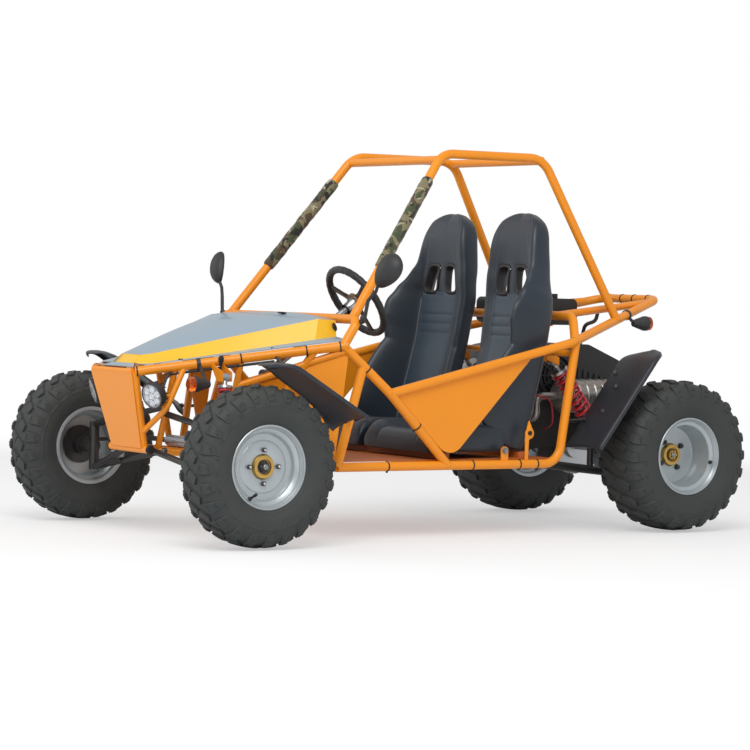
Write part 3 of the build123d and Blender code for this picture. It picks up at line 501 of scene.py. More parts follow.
def tyreForm(shape):
    half = curveThrough([(r, d, 0) for r, d in shape["half"]], 61)
    spans = [0.0]
    for a, b in zip(half, half[1:]):
        spans.append(spans[-1] + (b - a).length)

    def spot(s):  # place and outward normal in the section, s millimetres out from the crown
        side = 1 if s >= 0 else -1
        s = min(abs(s), spans[-1] - 0.01)
        k = next(i for i in range(len(spans) - 1) if spans[i + 1] > s)
        share = (s - spans[k]) / (spans[k + 1] - spans[k])
        place, way = half[k].lerp(half[k + 1], share), (half[k + 1] - half[k]).normalized()
        return place.x, place.y * side, way.y, -way.x * side

    crown = shape["half"][0][0]

    def lift(u, s, h):  # round the tyre by u, across by s, out by h
        r, d, nr, nd = spot(s)
        angle = u / crown
        return ((r + nr * h) * cos(angle), (r + nr * h) * sin(angle), d + nd * h)

    def rib(path, low, high, edge):  # a raised bar along a path of (u, s, half width)
        rows = []
        for i, (u, s, w) in enumerate(path):
            before, after = path[max(i - 1, 0)], path[min(i + 1, len(path) - 1)]
            du, ds = after[0] - before[0], after[1] - before[1]
            size = (du * du + ds * ds) ** 0.5
            pu, ps = ds / size, -du / size
            tall = high[i] if isinstance(high, list) else high
            flank = [(-w - edge, low), (-w, tall - edge * 0.8), (-w + edge, tall)]
            section = flank + [(-k, h) for k, h in reversed(flank)]
            rows.append([lift(u + pu * k, s + ps * k, h) for k, h in section])
        corners, faces = grid(rows)
        last = (len(rows) - 1) * 6
        return corners, faces + [list(range(6))[::-1], list(range(last, last + 6))]

    form = Shape()
    wall = [(p.x, p.y) for p in half]
    section = [(r, -d) for r, d in reversed(wall)] + wall[1:]
    raised = []
    for r, d in section:
        swell = sum(tread["ringHeight"] * exp(-((r - level) / tread["ringWidth"]) ** 2) for level in tread["rings"])
        raised.append((r, d + (swell if d > 0 else -swell)))
    form.add(lathe(raised, 132))
    pitch = 2 * pi * crown / tread["lugs"]
    tall, edge, sink = tread["height"], tread["edge"], tread["sink"]
    for side in (1, -1):
        for i in range(tread["lugs"]):
            start = pitch * (i + (0.0 if side > 0 else 0.5))
            shoulder = [(start + side * u, side * s, w) for u, s, w in shape["shoulder"]]
            form.add(rib(shoulder, sink, [tall, tall, tall * 0.92, tall * 0.65, tall * 0.3], edge))
            bar = [(start + pitch * 0.5 + side * u, side * s, w) for u, s, w in shape["tread"]]
            form.add(rib(bar, sink, tall, edge))
            mark = [(start + side * u, side * s, 2.3) for u, s in shape["mark"]]
            form.add(rib(mark, tall * 0.5, [tall + 2.2, tall + 2.4, tall * 0.86 + 2.4, tall * 0.72 + 2.2], 1.0))
            for step in (-7, 7):
                nub = [(start + step + side * u, side * s, 2.2) for u, s in shape["nub"]]
                form.add(rib(nub, -2, [2.6, 1.2], 1.0))
    return form


# Rims and hubs, drawn along Z with the outer face up

flange = {  # radius, and distance out from the bead seat
    "outer": [(139.3, 0), (139.4, 3.5), (137.6, 5), (134.6, 4.6), (132.6, 1.5), (130.5, -4), (126.5, -7.5), (125, -13),
              (121, -15.5), (112.5, -20)],
    "inner": [(123.2, 1), (127, -3.5), (134, -4.6), (138, -4.8), (139.4, -3), (139.2, 0)],
}
rimFront = {
    "bead": 65,
    "middle": [(110.4, 41), (109.6, 32), (107, 28.4), (101, 27.6), (88, 27.4), (85.5, 29.6), (80, 30.4), (62, 30.2),
               (46, 29.6), (41.5, 28.6), (41.2, 24.4), (60, 24.2), (100, 23.4), (107, 22), (109.4, 16), (108, -34),
               (112, -42), (122, -48)],
    "disc": 30.3, "studs": 55.0, "turn": 0.0, "valve": (118.0, 52.0, 60.0),
}
rimRear = {
    "bead": 95,
    "middle": [(110.4, 70), (110, 40), (106.5, 34), (104.5, 20), (104, 4), (101, -5.6), (94, -8.2), (60, -8.4),
               (46, -8.6), (41.5, -9.4), (41.2, -12.6), (60, -12.8), (96, -12.4), (106, -16), (108.5, -24), (110, -62),
               (113, -72), (122, -79)],
    "disc": -8.4, "studs": 55.0, "turn": 0.6, "valve": (118.0, 82.0, 168.0),
}


def rimForm(shape):
    bead = shape["bead"]
    profile = [(r, bead + d) for r, d in flange["outer"]] + shape["middle"] + [(r, d - bead) for r, d in flange["inner"]]
    form = Shape().add(lathe(profile, 96))
    r, d, angle = shape["valve"]  # radius, depth, degrees round the rim
    c, s = cos(radians(angle)), sin(radians(angle))
    root, lean = Vector((r * c, r * s, d - 4)), Vector((-c * 0.55, -s * 0.55, 0.8)).normalized()
    stem = [(0, 0), (7, 0), (7, 3), (4.2, 6), (4, 22), (5.2, 22.5), (5.2, 33), (3.4, 35), (0, 35)]
    form.add(lathe(stem, 16), facing(root, lean), 1)
    return form


def studForm(shape):
    form = Shape()
    for i in range(4):
        angle = shape["turn"] + pi / 2 * i
        place = shiftBy(shape["studs"] * cos(angle), shape["studs"] * sin(angle), shape["disc"] - 1)
        form.add(lathe([(0, 0), (11, 0), (10.5, 2.4), (6, 3)], 20), place)
        form.add(prism(ring(9.2), 9, 0.8), place @ shiftBy(0, 0, 6.5), 1)
        form.add(lathe([(5, 0), (5, 15.2), (3.8, 16.4), (0, 16.4)], 14), place)
    return form


def hubForm(disc, nutColor):
    face = disc - 3.4
    back = [(r, face - d) for r, d in ((12, 46), (34, 46), (34, 11), (66, 11), (68, 9), (68, 1), (66, 0), (40, 0))]
    cup = ((39.4, 8), (37, 11.5), (30, 12.4), (26.5, 12.2), (25, 6), (12, 5))
    nose = [(40, face)] + [(r, disc + d) for r, d in cup]
    form = Shape().add(lathe(nose, 56)).add(lathe(back, 56), mark=1)
    place = shiftBy(0, 0, disc + 5)
    form.add(lathe([(24, 0), (22.5, 2), (15, 2.4)], 32), place, 1)
    form.add(prism(ring(19), 9, 1.0), place @ shiftBy(0, 0, 5), nutColor)
    for i in range(6):  # crown of the slotted nut
        form.add(block(6.5, 7, 6, 0.6), place @ turnBy(pi / 3 * i) @ shiftBy(13, 0, 12), nutColor)
    form.add(lathe([(9.6, 0), (9.6, 17), (7.6, 19), (0, 19)], 20), place, 2)
    form.add(tube([(-18, 3, 13), (18, -3, 13)], 1.7, 8), place, 2)
    return form


wheelAt = {
    "front": {"x": 918.0, "y": 615.0, "z": 270.0, "disc": 27.0, "tyre": tyreFront, "rim": rimFront,
              "nut": 1, "stud": "brightSteel"},
    "rear": {"x": -912.0, "y": 482.5, "z": 276.0, "disc": -9.0, "tyre": tyreRear, "rim": rimRear,
             "nut": 0, "stud": "blackPaint"},
}


def outFrom(axle, side):  # local Z out to the side, local X forward
    turn = Matrix(((1, 0, 0), (0, 0, side), (0, -side, 0))).to_4x4()
    return shiftBy(axle["x"], side * axle["y"], axle["z"]) @ turn


def wheelPieces():
    for end, axle in wheelAt.items():
        forms = {
            "tyre": (tyreForm(axle["tyre"]), ("rubber",), 32, "tyre"),
            "rim": (rimForm(axle["rim"]), ("rimSilver", "trimRubber"), 35, "rim_silver"),
            "studs": (studForm(axle["rim"]), (axle["stud"], "blackPaint"), 35, "damper_steel"),
            "hub": (hubForm(axle["disc"], axle["nut"]), ("zincGold", "blackPaint", "boltSteel"), 35, "hub_zinc"),
        }
        for side, word in ((1, "left"), (-1, "right")):
            body = f"wheel_front_{word}" if end == "front" else "rear_axle"
            for kind, (form, skins, sharp, slot) in forms.items():
                shape = Shape().add((form.corners, form.faces), outFrom(axle, side))
                shape.marks = list(form.marks)
                stands = {"front": [f"{kind}_front_{word}"], "rear": [f"rear_{kind}s"]}[end] if kind != "studs" else []
                shape.piece(f"{kind}_{end}_{word}_made", slot, *skins, body=body, replaces=stands, sharp=sharp)


wheelPieces()
print("wheels made")


# Seats: sections up the back or along the cushion, drawn from the middle line to the side

seat = {
    "pitch": 445.0,
    "backFoot": (-302.0, 290.0),
    "lean": radians(14.7),
    "outerHalf": [(0, 186), (60, 198), (180, 204), (300, 203), (352, 199), (420, 205), (490, 206), (545, 196), (600, 172),
                  (650, 154), (700, 143), (750, 135), (788, 123), (816, 105), (836, 80), (846, 52), (850, 28)],
    "innerHalf": [(0, 150), (352, 150), (450, 156), (540, 160), (620, 154), (700, 143), (750, 135), (788, 123), (816, 105),
                  (836, 80), (846, 52), (850, 28)],
    "outer": [(0, 130), (40, 200), (84, 240), (126, 246), (180, 232), (250, 208), (320, 184), (352, 168), (385, 174),
              (440, 188), (490, 184), (540, 154), (600, 114), (660, 94), (760, 84), (810, 74), (840, 58),
              (850, 44)],  # bolster towards the door
    "inner": [(0, 66), (150, 72), (300, 70), (450, 70), (540, 74), (610, 80), (700, 87), (770, 84), (815, 73), (840, 58),
              (850, 44)],
    "bend": [(0, -6), (340, 0), (500, 12), (640, 32), (760, 52), (850, 60)],  # the head comes forward
    "hollow": [(0, 0), (200, 6), (480, 12), (552, 24), (664, 24), (720, 10), (850, 0)],  # hollow behind the slots
    "panel": [(0, 58), (150, 60), (300, 56), (430, 54), (540, 58), (610, 64), (700, 75), (770, 75), (815, 66), (840, 52),
              (850, 40)],
    "shell": [(0, 4), (300, 2), (760, 3), (820, 10), (850, 26)],
    "seams": (404, 438, 472),
    "slotRows": (556, 648),
    "foldAt": 352,  # crease above the bolster
    "panelFrom": 50,  # foot of the paler panel
}
seatRows = [0, 14, 50, 84, 104, 126, 160, 210, 260, 315, 340, 352, 364, 385]
for seamHeight in seat["seams"]:
    seatRows += [seamHeight - 5, seamHeight, seamHeight + 5]
seatRows += [500, 530, 556, 578, 602, 626, 648, 676, 710, 746, 772, 796, 816, 832, 843, 848, 850]


def seatSection(h, edge="outer"):
    half, bolster = along(seat[edge + "Half"], h), along(seat[edge], h)
    panel, shell = along(seat["panel"], h), along(seat["shell"], h)
    above = max(0.0, h - seat["slotRows"][0])
    seam = min(0.66 * half, 128)
    slotOut = min(114 - 0.4 * above, seam * 0.89)
    slotIn = min(34 - 0.14 * above, slotOut * 0.3)
    dip = 3.2 if h in seat["seams"] else 0.0
    fold = 5.0 * exp(-((h - seat["foldAt"]) / 10) ** 2)
    pinch = max(0.0, 1 - max(0, h - 560) / 60) if edge == "outer" else 0.0
    thin = shell + along(seat["hollow"], h)
    slot, wing = (slotIn + slotOut) / 2, half - seam
    front = [
        (0, panel - dip), (slotIn, panel - dip), (slot, panel - dip), (slotOut, panel + 1 - dip),
        (seam - 5, panel + 5), (seam, panel + 5 - 4.5 * pinch), (seam + 5, panel + 7),
        (seam + wing * 0.34, panel + 0.62 * (bolster - panel)), (seam + wing * 0.62, bolster - fold),
        (seam + wing * 0.88, bolster - 7 - fold), (half, 0.74 * bolster),
    ]
    rim = [(half + 1.5, 0.42 * bolster)]
    rear = [
        (half * 0.985, 0.12 * bolster + shell), (half * 0.93, shell + 2), (half * 0.82, shell), (seam + 8, shell),
        (seam, shell + 0.4 * (thin - shell)), (seam - 8, thin), (slotOut + 6, thin), (slotOut, thin), (slot, thin),
        (slotIn, thin), (0, thin),
    ]
    return front, rim, rear


def seatBack(side, word):
    tilt = seat["lean"]
    x0, z0 = seat["backFoot"]
    up, ahead = Vector((-sin(tilt), 0, cos(tilt))), Vector((cos(tilt), 0, sin(tilt)))
    foot = Vector((x0, side * seat["pitch"] / 2, z0))

    def place(y, f, h):
        return foot + up * h + ahead * (f + along(seat["bend"], h)) + Vector((0, y, 0))

    rows, piping, bezels = [], [], []
    for h in seatRows:
        halves = {side: seatSection(h, "outer"), -side: seatSection(h, "inner")}
        left, right = (sum(halves[way], []) for way in (1, -1))
        rows.append([place(y, f, h) for y, f in left + [(-y, f) for y, f in reversed(right[1:-1])]])
        y, f = halves[side][0][5]  # seam beside the door bolster
        piping.append(place(side * y, f + 3.0, h))
    corners, faces = grid(rows, closedColumns=True)
    width, count = len(rows[0]), len(seatSection(0)[0])
    low, high = (seatRows.index(v) for v in seat["slotRows"])

    def column(k, way):  # index round the ring of a column on one side
        return k if way > 0 else (width - k) % width

    holes = set()
    for way in (1, -1):
        for i in range(low, high):
            for k in (1, 2):
                for a, b in ((k, k + 1), (2 * count - k - 1, 2 * count - k)):
                    holes.add(frozenset(r * width + column(c, way) for r in (i, i + 1) for c in (a, b)))
    first = seatRows.index(seat["panelFrom"])
    marks = []
    for i in range(len(faces)):
        row, k = divmod(i, width)
        marks.append(int(first <= row < low and min(k, width - 1 - k) < 5))
    kept = [i for i, f in enumerate(faces) if frozenset(f) not in holes]
    faces, marks = [faces[i] for i in kept], [marks[i] for i in kept]
    for way in (1, -1):
        loop = [(i, 1) for i in range(low, high)] + [(high, k) for k in (1, 2)]
        loop += [(i, 3) for i in range(high, low, -1)] + [(low, k) for k in (3, 2)]
        rim = [r * width + column(k, way) for r, k in loop]
        back = [r * width + column(2 * count - k, way) for r, k in loop]
        faces += [(rim[i], rim[(i + 1) % len(rim)], back[(i + 1) % len(rim)], back[i]) for i in range(len(rim))]
        bezels.append([corners[i] for i in rim])
    for row in (0, len(rows) - 1):  # foot and top
        for k in range(count):
            for way in (1, -1):
                a, b = column(k, way), column(k + 1, way)
                c, d = column(2 * count - k - 1, way), column(2 * count - k, way)
                face = [row * width + i for i in (a, b, c, d)]
                faces.append(list(dict.fromkeys(face)))
    form = Shape()
    form.corners, form.faces, form.marks = corners, faces, marks + [0] * (len(faces) - len(marks))
    pad = form.piece(f"seat_back_{word}_pad", "seat_vinyl", "seatVinyl", "seatPanel",
                     replaces=[f"seat_back_{word}"], sharp=180, smooth=2)
    trim = Shape()
    for loop in bezels:
        middle = sum(loop, Vector()) / len(loop)
        rows = []
        for grow, out in ((0.93, -20), (0.95, 2), (1.02, 4.5), (1.14, 4), (1.2, 0)):
            rows.append([middle + (c - middle) * grow + ahead * out for c in loop])
        trim.add(grid(rows, closedColumns=True))
    trim.piece(f"seat_slots_{word}", "shroud_plastic", "blackPlastic", sharp=180, smooth=1)
    edging = Shape().add(tube(piping[2:low], 2.0, 8))
    edging.piece(f"seat_piping_{word}", "seat_vinyl", "seatPiping", sharp=180)


cushion = {
    "base": 290.5, "half": 206.0, "seam": 122, "crossSeam": 57,
    "stations": [-214, -206, -150, -90, -30, 25, 52, 57, 62, 85, 103, 114, 120, 123],
    "crest": [(-214, 90), (-120, 100), (20, 104), (80, 100), (108, 80), (119, 54), (123, 24)],
    "panel": [(-214, 66), (-100, 68), (20, 72), (70, 78), (100, 70), (118, 48), (123, 24)],
}


def seatCushion(side, word):
    rows = []
    middle, seam = side * seat["pitch"] / 2, cushion["seam"]
    back, *_, front = cushion["stations"]
    for x in cushion["stations"]:
        crest, panel = along(cushion["crest"], x), along(cushion["panel"], x)
        half = cushion["half"] - (4 if x in (back, front) else 0)
        dip = 3.5 if x == cushion["crossSeam"] else 0.0
        lift = 2.0 if x in (back, front) else 0.0
        lean = 26 if x == back else 0.0  # the back leans over the cushion's foot
        halfLoop = [
            (0, panel - dip), (60, panel - dip), (seam - 5, panel + 2 - dip), (seam, panel - 2), (seam + 5, panel + 4),
            (150, panel + 0.75 * (crest - panel)), (174, crest), (194, crest - 6), (half, 0.72 * crest),
            (half + 0.4, 0.4 * crest), (half - 3, lift + 4), (half - 16, lift), (130, lift), (60, lift), (0, lift),
        ]
        loop = halfLoop + [(-y, z) for y, z in reversed(halfLoop[1:-1])]
        rows.append([Vector((x + lean * (1 - z / 90) * 0.9, middle + y, cushion["base"] + z)) for y, z in loop])
    corners, faces = grid(rows, closedColumns=True)
    width = len(rows[0])
    faces += [list(range(width))[::-1], list(range((len(rows) - 1) * width, len(rows) * width))]
    pad = Shape().add((corners, faces)).piece(f"seat_cushion_{word}_pad", "seat_vinyl", "seatVinyl",
                                              replaces=[f"seat_cushion_{word}"], sharp=180, smooth=2)


for seatSide, seatWord in ((1, "left"), (-1, "right")):
    seatBack(seatSide, seatWord)
    seatCushion(seatSide, seatWord)
print("seats made")


# Hood: sections from the nose back, each (low edge, top edge, crown height)

hood = {
    "sections": [
        ((1090, 76, 586), (1062, 66, 614), 615),
        ((1072, 114, 583), (1030, 95, 620), 634),
        ((818, 250, 631), (785, 228, 685), 731),
        ((565, 385, 679), (541, 362, 749), 764),
        ((478, 380, 690), (460, 345, 744), 757),
    ],
    "rail": ((1122, 141, 576), (490, 445, 675)),  # top of the hood rail, nose and cowl
    "lip": ((1090, 76, 586), (1104, 100, 579), (1122, 128, 577)),  # from the nose down to the rail
    "crown": (1030, 525, 634, 132),  # where it starts, its run, its height there and its rise
    "across": 16, "between": (1, 4, 4, 2), "sheet": 3.5,
    "clips": (700, 980), "catch": 867,
}


def railTop(x):
    (x0, y0, z0), (x1, y1, z1) = hood["rail"]
    share = (x - x0) / (x1 - x0)
    return Vector((x, y0 + (y1 - y0) * share, z0 + (z1 - z0) * share + 4.6))


def crownAt(x):  # height along the middle of the hood
    start, run, low, rise = hood["crown"]
    return low + rise * sin(min(1.0, (start - x) / run) * pi / 2)


def hoodPiece():
    sections = []
    for (first, second), steps in zip(zip(hood["sections"], hood["sections"][1:]), hood["between"]):
        for i in range(steps):
            t = i / steps
            low, top = (Vector(first[k]).lerp(Vector(second[k]), t) for k in (0, 1))
            sections.append((low, top, crownAt(top.x) if sections else first[2]))
    last = hood["sections"][-1]
    sections.append((Vector(last[0]), Vector(last[1]), crownAt(last[1][0])))
    form = Shape()
    top = []
    shares = [1 - 2 * i / hood["across"] for i in range(hood["across"] + 1)]
    for _, edge, crown in sections:
        rise = crown - edge.z
        top.append([Vector((edge.x - (1 - u * u) * 6, u * edge.y, edge.z + rise * (1 - abs(u) ** 2.2))) for u in shares])
    form.add(grid(top))
    for way in (1, -1):
        band, flange = [], []
        flip = Vector((1, way, 1))
        for low, edge, _ in sections:
            rail = railTop(low.x)
            rail.y = max(rail.y, low.y + 2)
            band.append([c * flip for c in (edge, edge.lerp(low, 0.06), edge.lerp(low, 0.94), low)])
            flange.append([c * flip for c in (low, low.lerp(rail, 0.5), rail)])
        form.add(grid(band), mark=1)
        form.add(grid(flange))
    low, edge, crown = sections[0]
    halves = (1, 0.5, 0, -0.5, -1)
    nose = [[Vector((edge.x, u * edge.y, edge.z + (crown - edge.z) * (1 - u * u))) for u in halves],
            [Vector((low.x, u * low.y, low.z)) for u in halves]]
    form.add(grid(nose), mark=1)
    form.add(grid([[Vector((x, u * half, z)) for u in halves] for x, half, z in hood["lip"]]))
    obj = form.piece("hood_cover", "hood_cover", "hoodGrey", "hoodYellow", replaces=["hood"], sharp=16)
    thicken(obj, hood["sheet"])
    ease = obj.modifiers.new("ease", "BEVEL")
    ease.width, ease.segments, ease.angle_limit = 0.0016, 2, radians(18)


def hoodTrim():
    form = Shape()
    for x in hood["clips"]:  # on the flange
        form.add(block(16, 7, 4, 1.2), Matrix.Translation(railTop(x) - Vector((0, 12, -1))))
    spot = railTop(hood["catch"]) + Vector((8, 21, -36))  # beside the rail
    form.add(lathe([(0, 0), (5, 0), (6, 8), (9.5, 20), (9.5, 28), (6, 35), (0, 37)], 20), facing(spot, (0, 0.1, 1)))
    form.mirrorAdd()
    form.add(block(22, 26, 5, 1.5), shiftBy(556, 150, 765) @ Matrix.Rotation(-0.1, 4, "Y"))
    for way in (1, -1):  # oval fastener on the rear facet
        form.add(lathe([(0, 0), (13, 0), (13, 2.5), (10, 4.5), (4, 5), (4, 2.5), (0, 2.5)], 24),
                 facing((478, way * 366, 722), (-0.35, way * 0.9, 0.45)) @ Matrix.Diagonal((0.75, 1.15, 1, 1)))
    form.piece("hood_trim", "shroud_plastic", "trimRubber")


hoodPiece()
hoodTrim()
print("hood made")


# Fenders: a bent strip with its edges rolled down and its upper end rounded

fenders = {
    "front": {"path": [(902, 596), (850, 617), (532, 427)], "bend": 100, "inner": 505, "outer": 699, "tip": 130,
              "skirt": [(0, 0), (70, 20), (180, 25), (243, 26), (300, 32), (343, 44), (400, 62),
                        (460, 66)],  # fall of the inner side, along the path
              "stays": [((700, 344, 622), (700, 560, 526)), ((467, 461, 416), (546, 556, 409))]},
    "rear": {"path": [(-806, 655), (-745, 636), (-495, 309)], "bend": 84, "inner": 381, "outer": 597, "tip": 96,
             "skirt": [(0, 12), (500, 12)],
             "stays": [((-437, 461, 400), (-564, 410, 400)), ((-905, 92, 520), (-700, 412, 568))]},
}


def fenderPiece(end):
    shape = fenders[end]
    path = bent([(x, 0, z) for x, z in shape["path"]], shape["bend"], 5.0)
    fine = [path[0]]
    for a, b in zip(path, path[1:]):
        steps = max(1, int((b - a).length / 14))
        fine += [a.lerp(b, (i + 1) / steps) for i in range(steps)]
    inner, outer = shape["inner"], shape["outer"]
    middle, half = (inner + outer) / 2, (outer - inner) / 2
    rows, travelled = [], 0.0
    for i, spot in enumerate(fine):
        if i:
            travelled += (spot - fine[i - 1]).length
        ahead = (fine[min(i + 1, len(fine) - 1)] - fine[max(i - 1, 0)]).normalized()
        up = Vector((0, 1, 0)).cross(ahead)
        up = up if up.z > 0 else -up
        tip = min(1.0, travelled / shape["tip"])
        width = half * (0.2 + 0.8 * (1 - (1 - tip) ** 2) ** 0.5)
        fall = along(shape["skirt"], travelled)
        row = []
        for u, drop in ((-1, fall), (-0.99, fall * 0.93), (-0.93, fall * 0.8), (-0.78, fall * 0.63), (-0.4, fall * 0.34 - 1),
                        (0, fall * 0.15 - 2), (0.4, fall * 0.05 - 1.5), (0.8, 0), (0.95, 0.6), (0.985, 3), (1, 8), (1, 15)):
            row.append(spot + up * (2.4 - drop) + Vector((0, middle + u * width, 0)))
        rows.append(row)
    form = Shape().add(grid(rows))
    form.mirrorAdd()
    stays = Shape()
    for start, stop in shape["stays"]:
        stays.add(tube([start, stop], 6.0, 16))
        stays.add(bolt(5.0, 5.0), facing(Vector(stop) + up * 4, up), 1)
    stays.mirrorAdd()
    stays.piece(f"{end}_fender_stays", "fender_plastic", "blackPaint", "boltSteel")
    obj = form.piece(f"{end}_fender_sheets", "fender_plastic", "fenderPlastic",
                     replaces=[f"{end}_fenders"], sharp=50)
    thicken(obj, 3.0)


for fenderEnd in fenders:
    fenderPiece(fenderEnd)
print("fenders made")


# Coil springs: top seat, foot seat, coil radius, wire radius

springs = {
    "turns": 10.5,
    "rows": [((-515, 280, 606), (-738, 280, 326), 28.6, 6.4), ((878, 318, 548), (916, 391.7, 247.1), 20.9, 5.0)],
}


def springPiece():
    form = Shape()
    for top, foot, radius, wire in springs["rows"]:
        top, foot = Vector(top), Vector(foot)
        start, end = top.lerp(foot, 0.135), top.lerp(foot, 0.795)
        length = (end - start).length
        place = facing(start, end - start)
        points = []
        count = 26 * int(springs["turns"]) + 13
        for i in range(count + 1):
            t = i / count
            rise = wire + (length - 2 * wire) * min(1, max(0, (t - 0.06) / 0.88))
            angle = 2 * pi * springs["turns"] * t
            points.append((radius * cos(angle), radius * sin(angle), rise))
        form.add(tube(points, wire, 10), place)
    form.mirrorAdd()
    form.piece("coil_springs", "spring_red", "springRed", replaces=["springs"], sharp=180)


springPiece()
print("springs made")


# Cloth sleeves on the front pillars

sleeve = {"foot": (433, 408, 750), "top": (-5, 286, 1334), "span": (0.30, 0.84), "radius": 21.5, "bore": 17.0, "fold": 1.8}


def sleevePiece():
    foot, top = Vector(sleeve["foot"]), Vector(sleeve["top"])
    start, end = (foot.lerp(top, share) for share in sleeve["span"])
    place = facing(start, end - start)
    length = (end - start).length
    form = Shape()
    rows = []
    for i in range(91):
        t = i / 90
        row = []
        for k in range(36):
            angle = 2 * pi * k / 36
            c, s = cos(angle), sin(angle)
            wrinkle = noise.noise((c * 1.3, s * 1.3, t * 16)) + 0.5 * noise.noise((c * 3, s * 3, t * 40))
            r = sleeve["radius"] + sleeve["fold"] * wrinkle - 3.5 * (exp(-t * 90) + exp(-(1 - t) * 90))
            row.append((r * c, r * s, t * length))
        rows.append(row)
    inside = [[(x, y, z) for x, y in ring(sleeve["bore"], 36)] for z in (length, 0.0)]
    form.add(grid(rows + inside, closedRows=True, closedColumns=True), place)
    form.mirrorAdd()
    form.piece("camo_sleeves", "sleeve_cloth", "camoCloth", replaces=["pillar_sleeves"], sharp=70)


sleevePiece()
print("sleeves made")


# Steering wheel

steering = {"centre": (298.0, 222.5, 810.0), "tilt": radians(35), "radius": 132.0, "grip": 13.0}


def steeringWheelPiece():
    tilt = steering["tilt"]
    axis = Vector((-cos(tilt), 0, sin(tilt)))
    side = Vector((0, 1, 0))
    place = Matrix.Translation(steering["centre"]) @ axesOf(side, axis.cross(side), axis)
    form = Shape()
    points, sizes = [], []
    for i in range(120):
        angle = 2 * pi * i / 120
        points.append((steering["radius"] * cos(angle), steering["radius"] * sin(angle), 0))
        sizes.append(steering["grip"] - 0.9 + 0.9 * abs(sin(angle * 15)) ** 0.3)
    form.add(tube(points, sizes, 18, closed=True), place)
    for angle in (90, 210, 330):
        turn = place @ turnBy(radians(angle))
        outline = [(18, -15), (60, -11), (126, -13), (126, 13), (60, 11), (18, 15)]
        form.add(prism(outline, 4.5, 0.8), turn @ shiftBy(0, 0, -4), 1)
        for reach in (52, 74, 96):
            form.add(lathe([(0, 0), (5.6, 0), (5.6, 0.8), (0, 0.8)], 20), turn @ shiftBy(reach, 0, -1.6), 0)
    form.add(lathe([(0, -13), (33, -13), (34, -11), (34, 0), (31, 2.5), (0, 3)], 48), place, 2)
    form.add(lathe([(19.5, -52), (19.5, -30), (24, -22), (24, -13), (0, -13)], 40), place, 3)
    for i in range(6):
        form.add(bolt(3.2, 3.5), place @ turnBy(pi / 3 * i) @ shiftBy(25, 0, 2.2), 3)
    form.piece("steering_wheel_made", "wheel_grip", "wheelGrip", "blackPaint", "hubPlate", "brightSteel",
               body="steering_wheel", replaces=["steering_wheel"], sharp=38)


steeringWheelPiece()
print("steering wheel made")


# Mirrors: an egg-shaped shell on a bent stalk, its glass to the rear

mirrorShape = {
    "head": (392, 563, 914), "half": (48, 66), "base": (429, 474, 742), "lean": (-0.36, 0.73, 1), "ahead": (1, 0.16, 0),
    "shell": [(-3, 0.9), (-4, 0.96), (0, 1.0), (5, 0.995), (14, 0.93), (23, 0.78), (30, 0.55), (33.5, 0.3), (34.5, 0.02)],
    "glass": [(-3, 0.9), (-2.2, 0.89), (-2.2, 0.02)],  # depth, share of the outline
}


def mirrorPiece():
    form = Shape()
    wide, tall = mirrorShape["half"]
    up, ahead = Vector(mirrorShape["lean"]).normalized(), Vector(mirrorShape["ahead"])
    ahead = (ahead - up * ahead.dot(up)).normalized()
    turn = Matrix.Translation(mirrorShape["head"]) @ axesOf(up.cross(ahead), up, ahead)

    def egg(angle, scale):  # narrower towards the stalk
        y, z = wide * scale * cos(angle), tall * scale * sin(angle)
        return y * (1 + 0.27 * z / tall), z

    for mark, part in enumerate(("shell", "glass")):
        rows = [[(*egg(2 * pi * k / 48, scale), depth) for k in range(48)] for depth, scale in mirrorShape[part]]
        form.add(grid(rows, closedColumns=True), turn, mark)
    x, y, z = mirrorShape["base"]
    path = bent([(x, y - 26, z), (x, y, z), (x - 6, y + 14, 815), (410, 515, 845), (412, 530, 870)], 12, 12)
    form.add(tube(path, [7.2 - 1.6 * i / len(path) for i in range(len(path))], 14))
    form.add(lathe([(0, 0), (10, 0), (11, 3), (11, 13), (8.5, 16), (0, 16)], 24), facing((x, y - 6, z + 4), (0, 0.15, 1)))
    form.mirrorAdd()
    form.piece("mirror_pair", "shroud_plastic", "blackPlastic", "mirrorGlass", replaces=["mirrors"], sharp=40)


mirrorPiece()
print("mirrors made")


# Lamps

lamps = {
    "centre": (1093, 209, 481), "aim": (0.9, 0.28, -0.3),
    "signals": [((1002, 326, 525), 1, (930, 233, 590)), ((-922, 300, 748), -1, (-845, 281, 778))],
    "rails": {1: (-0.89, 0.43, 0.14), -1: (-0.87, -0.44, 0.22)},
}


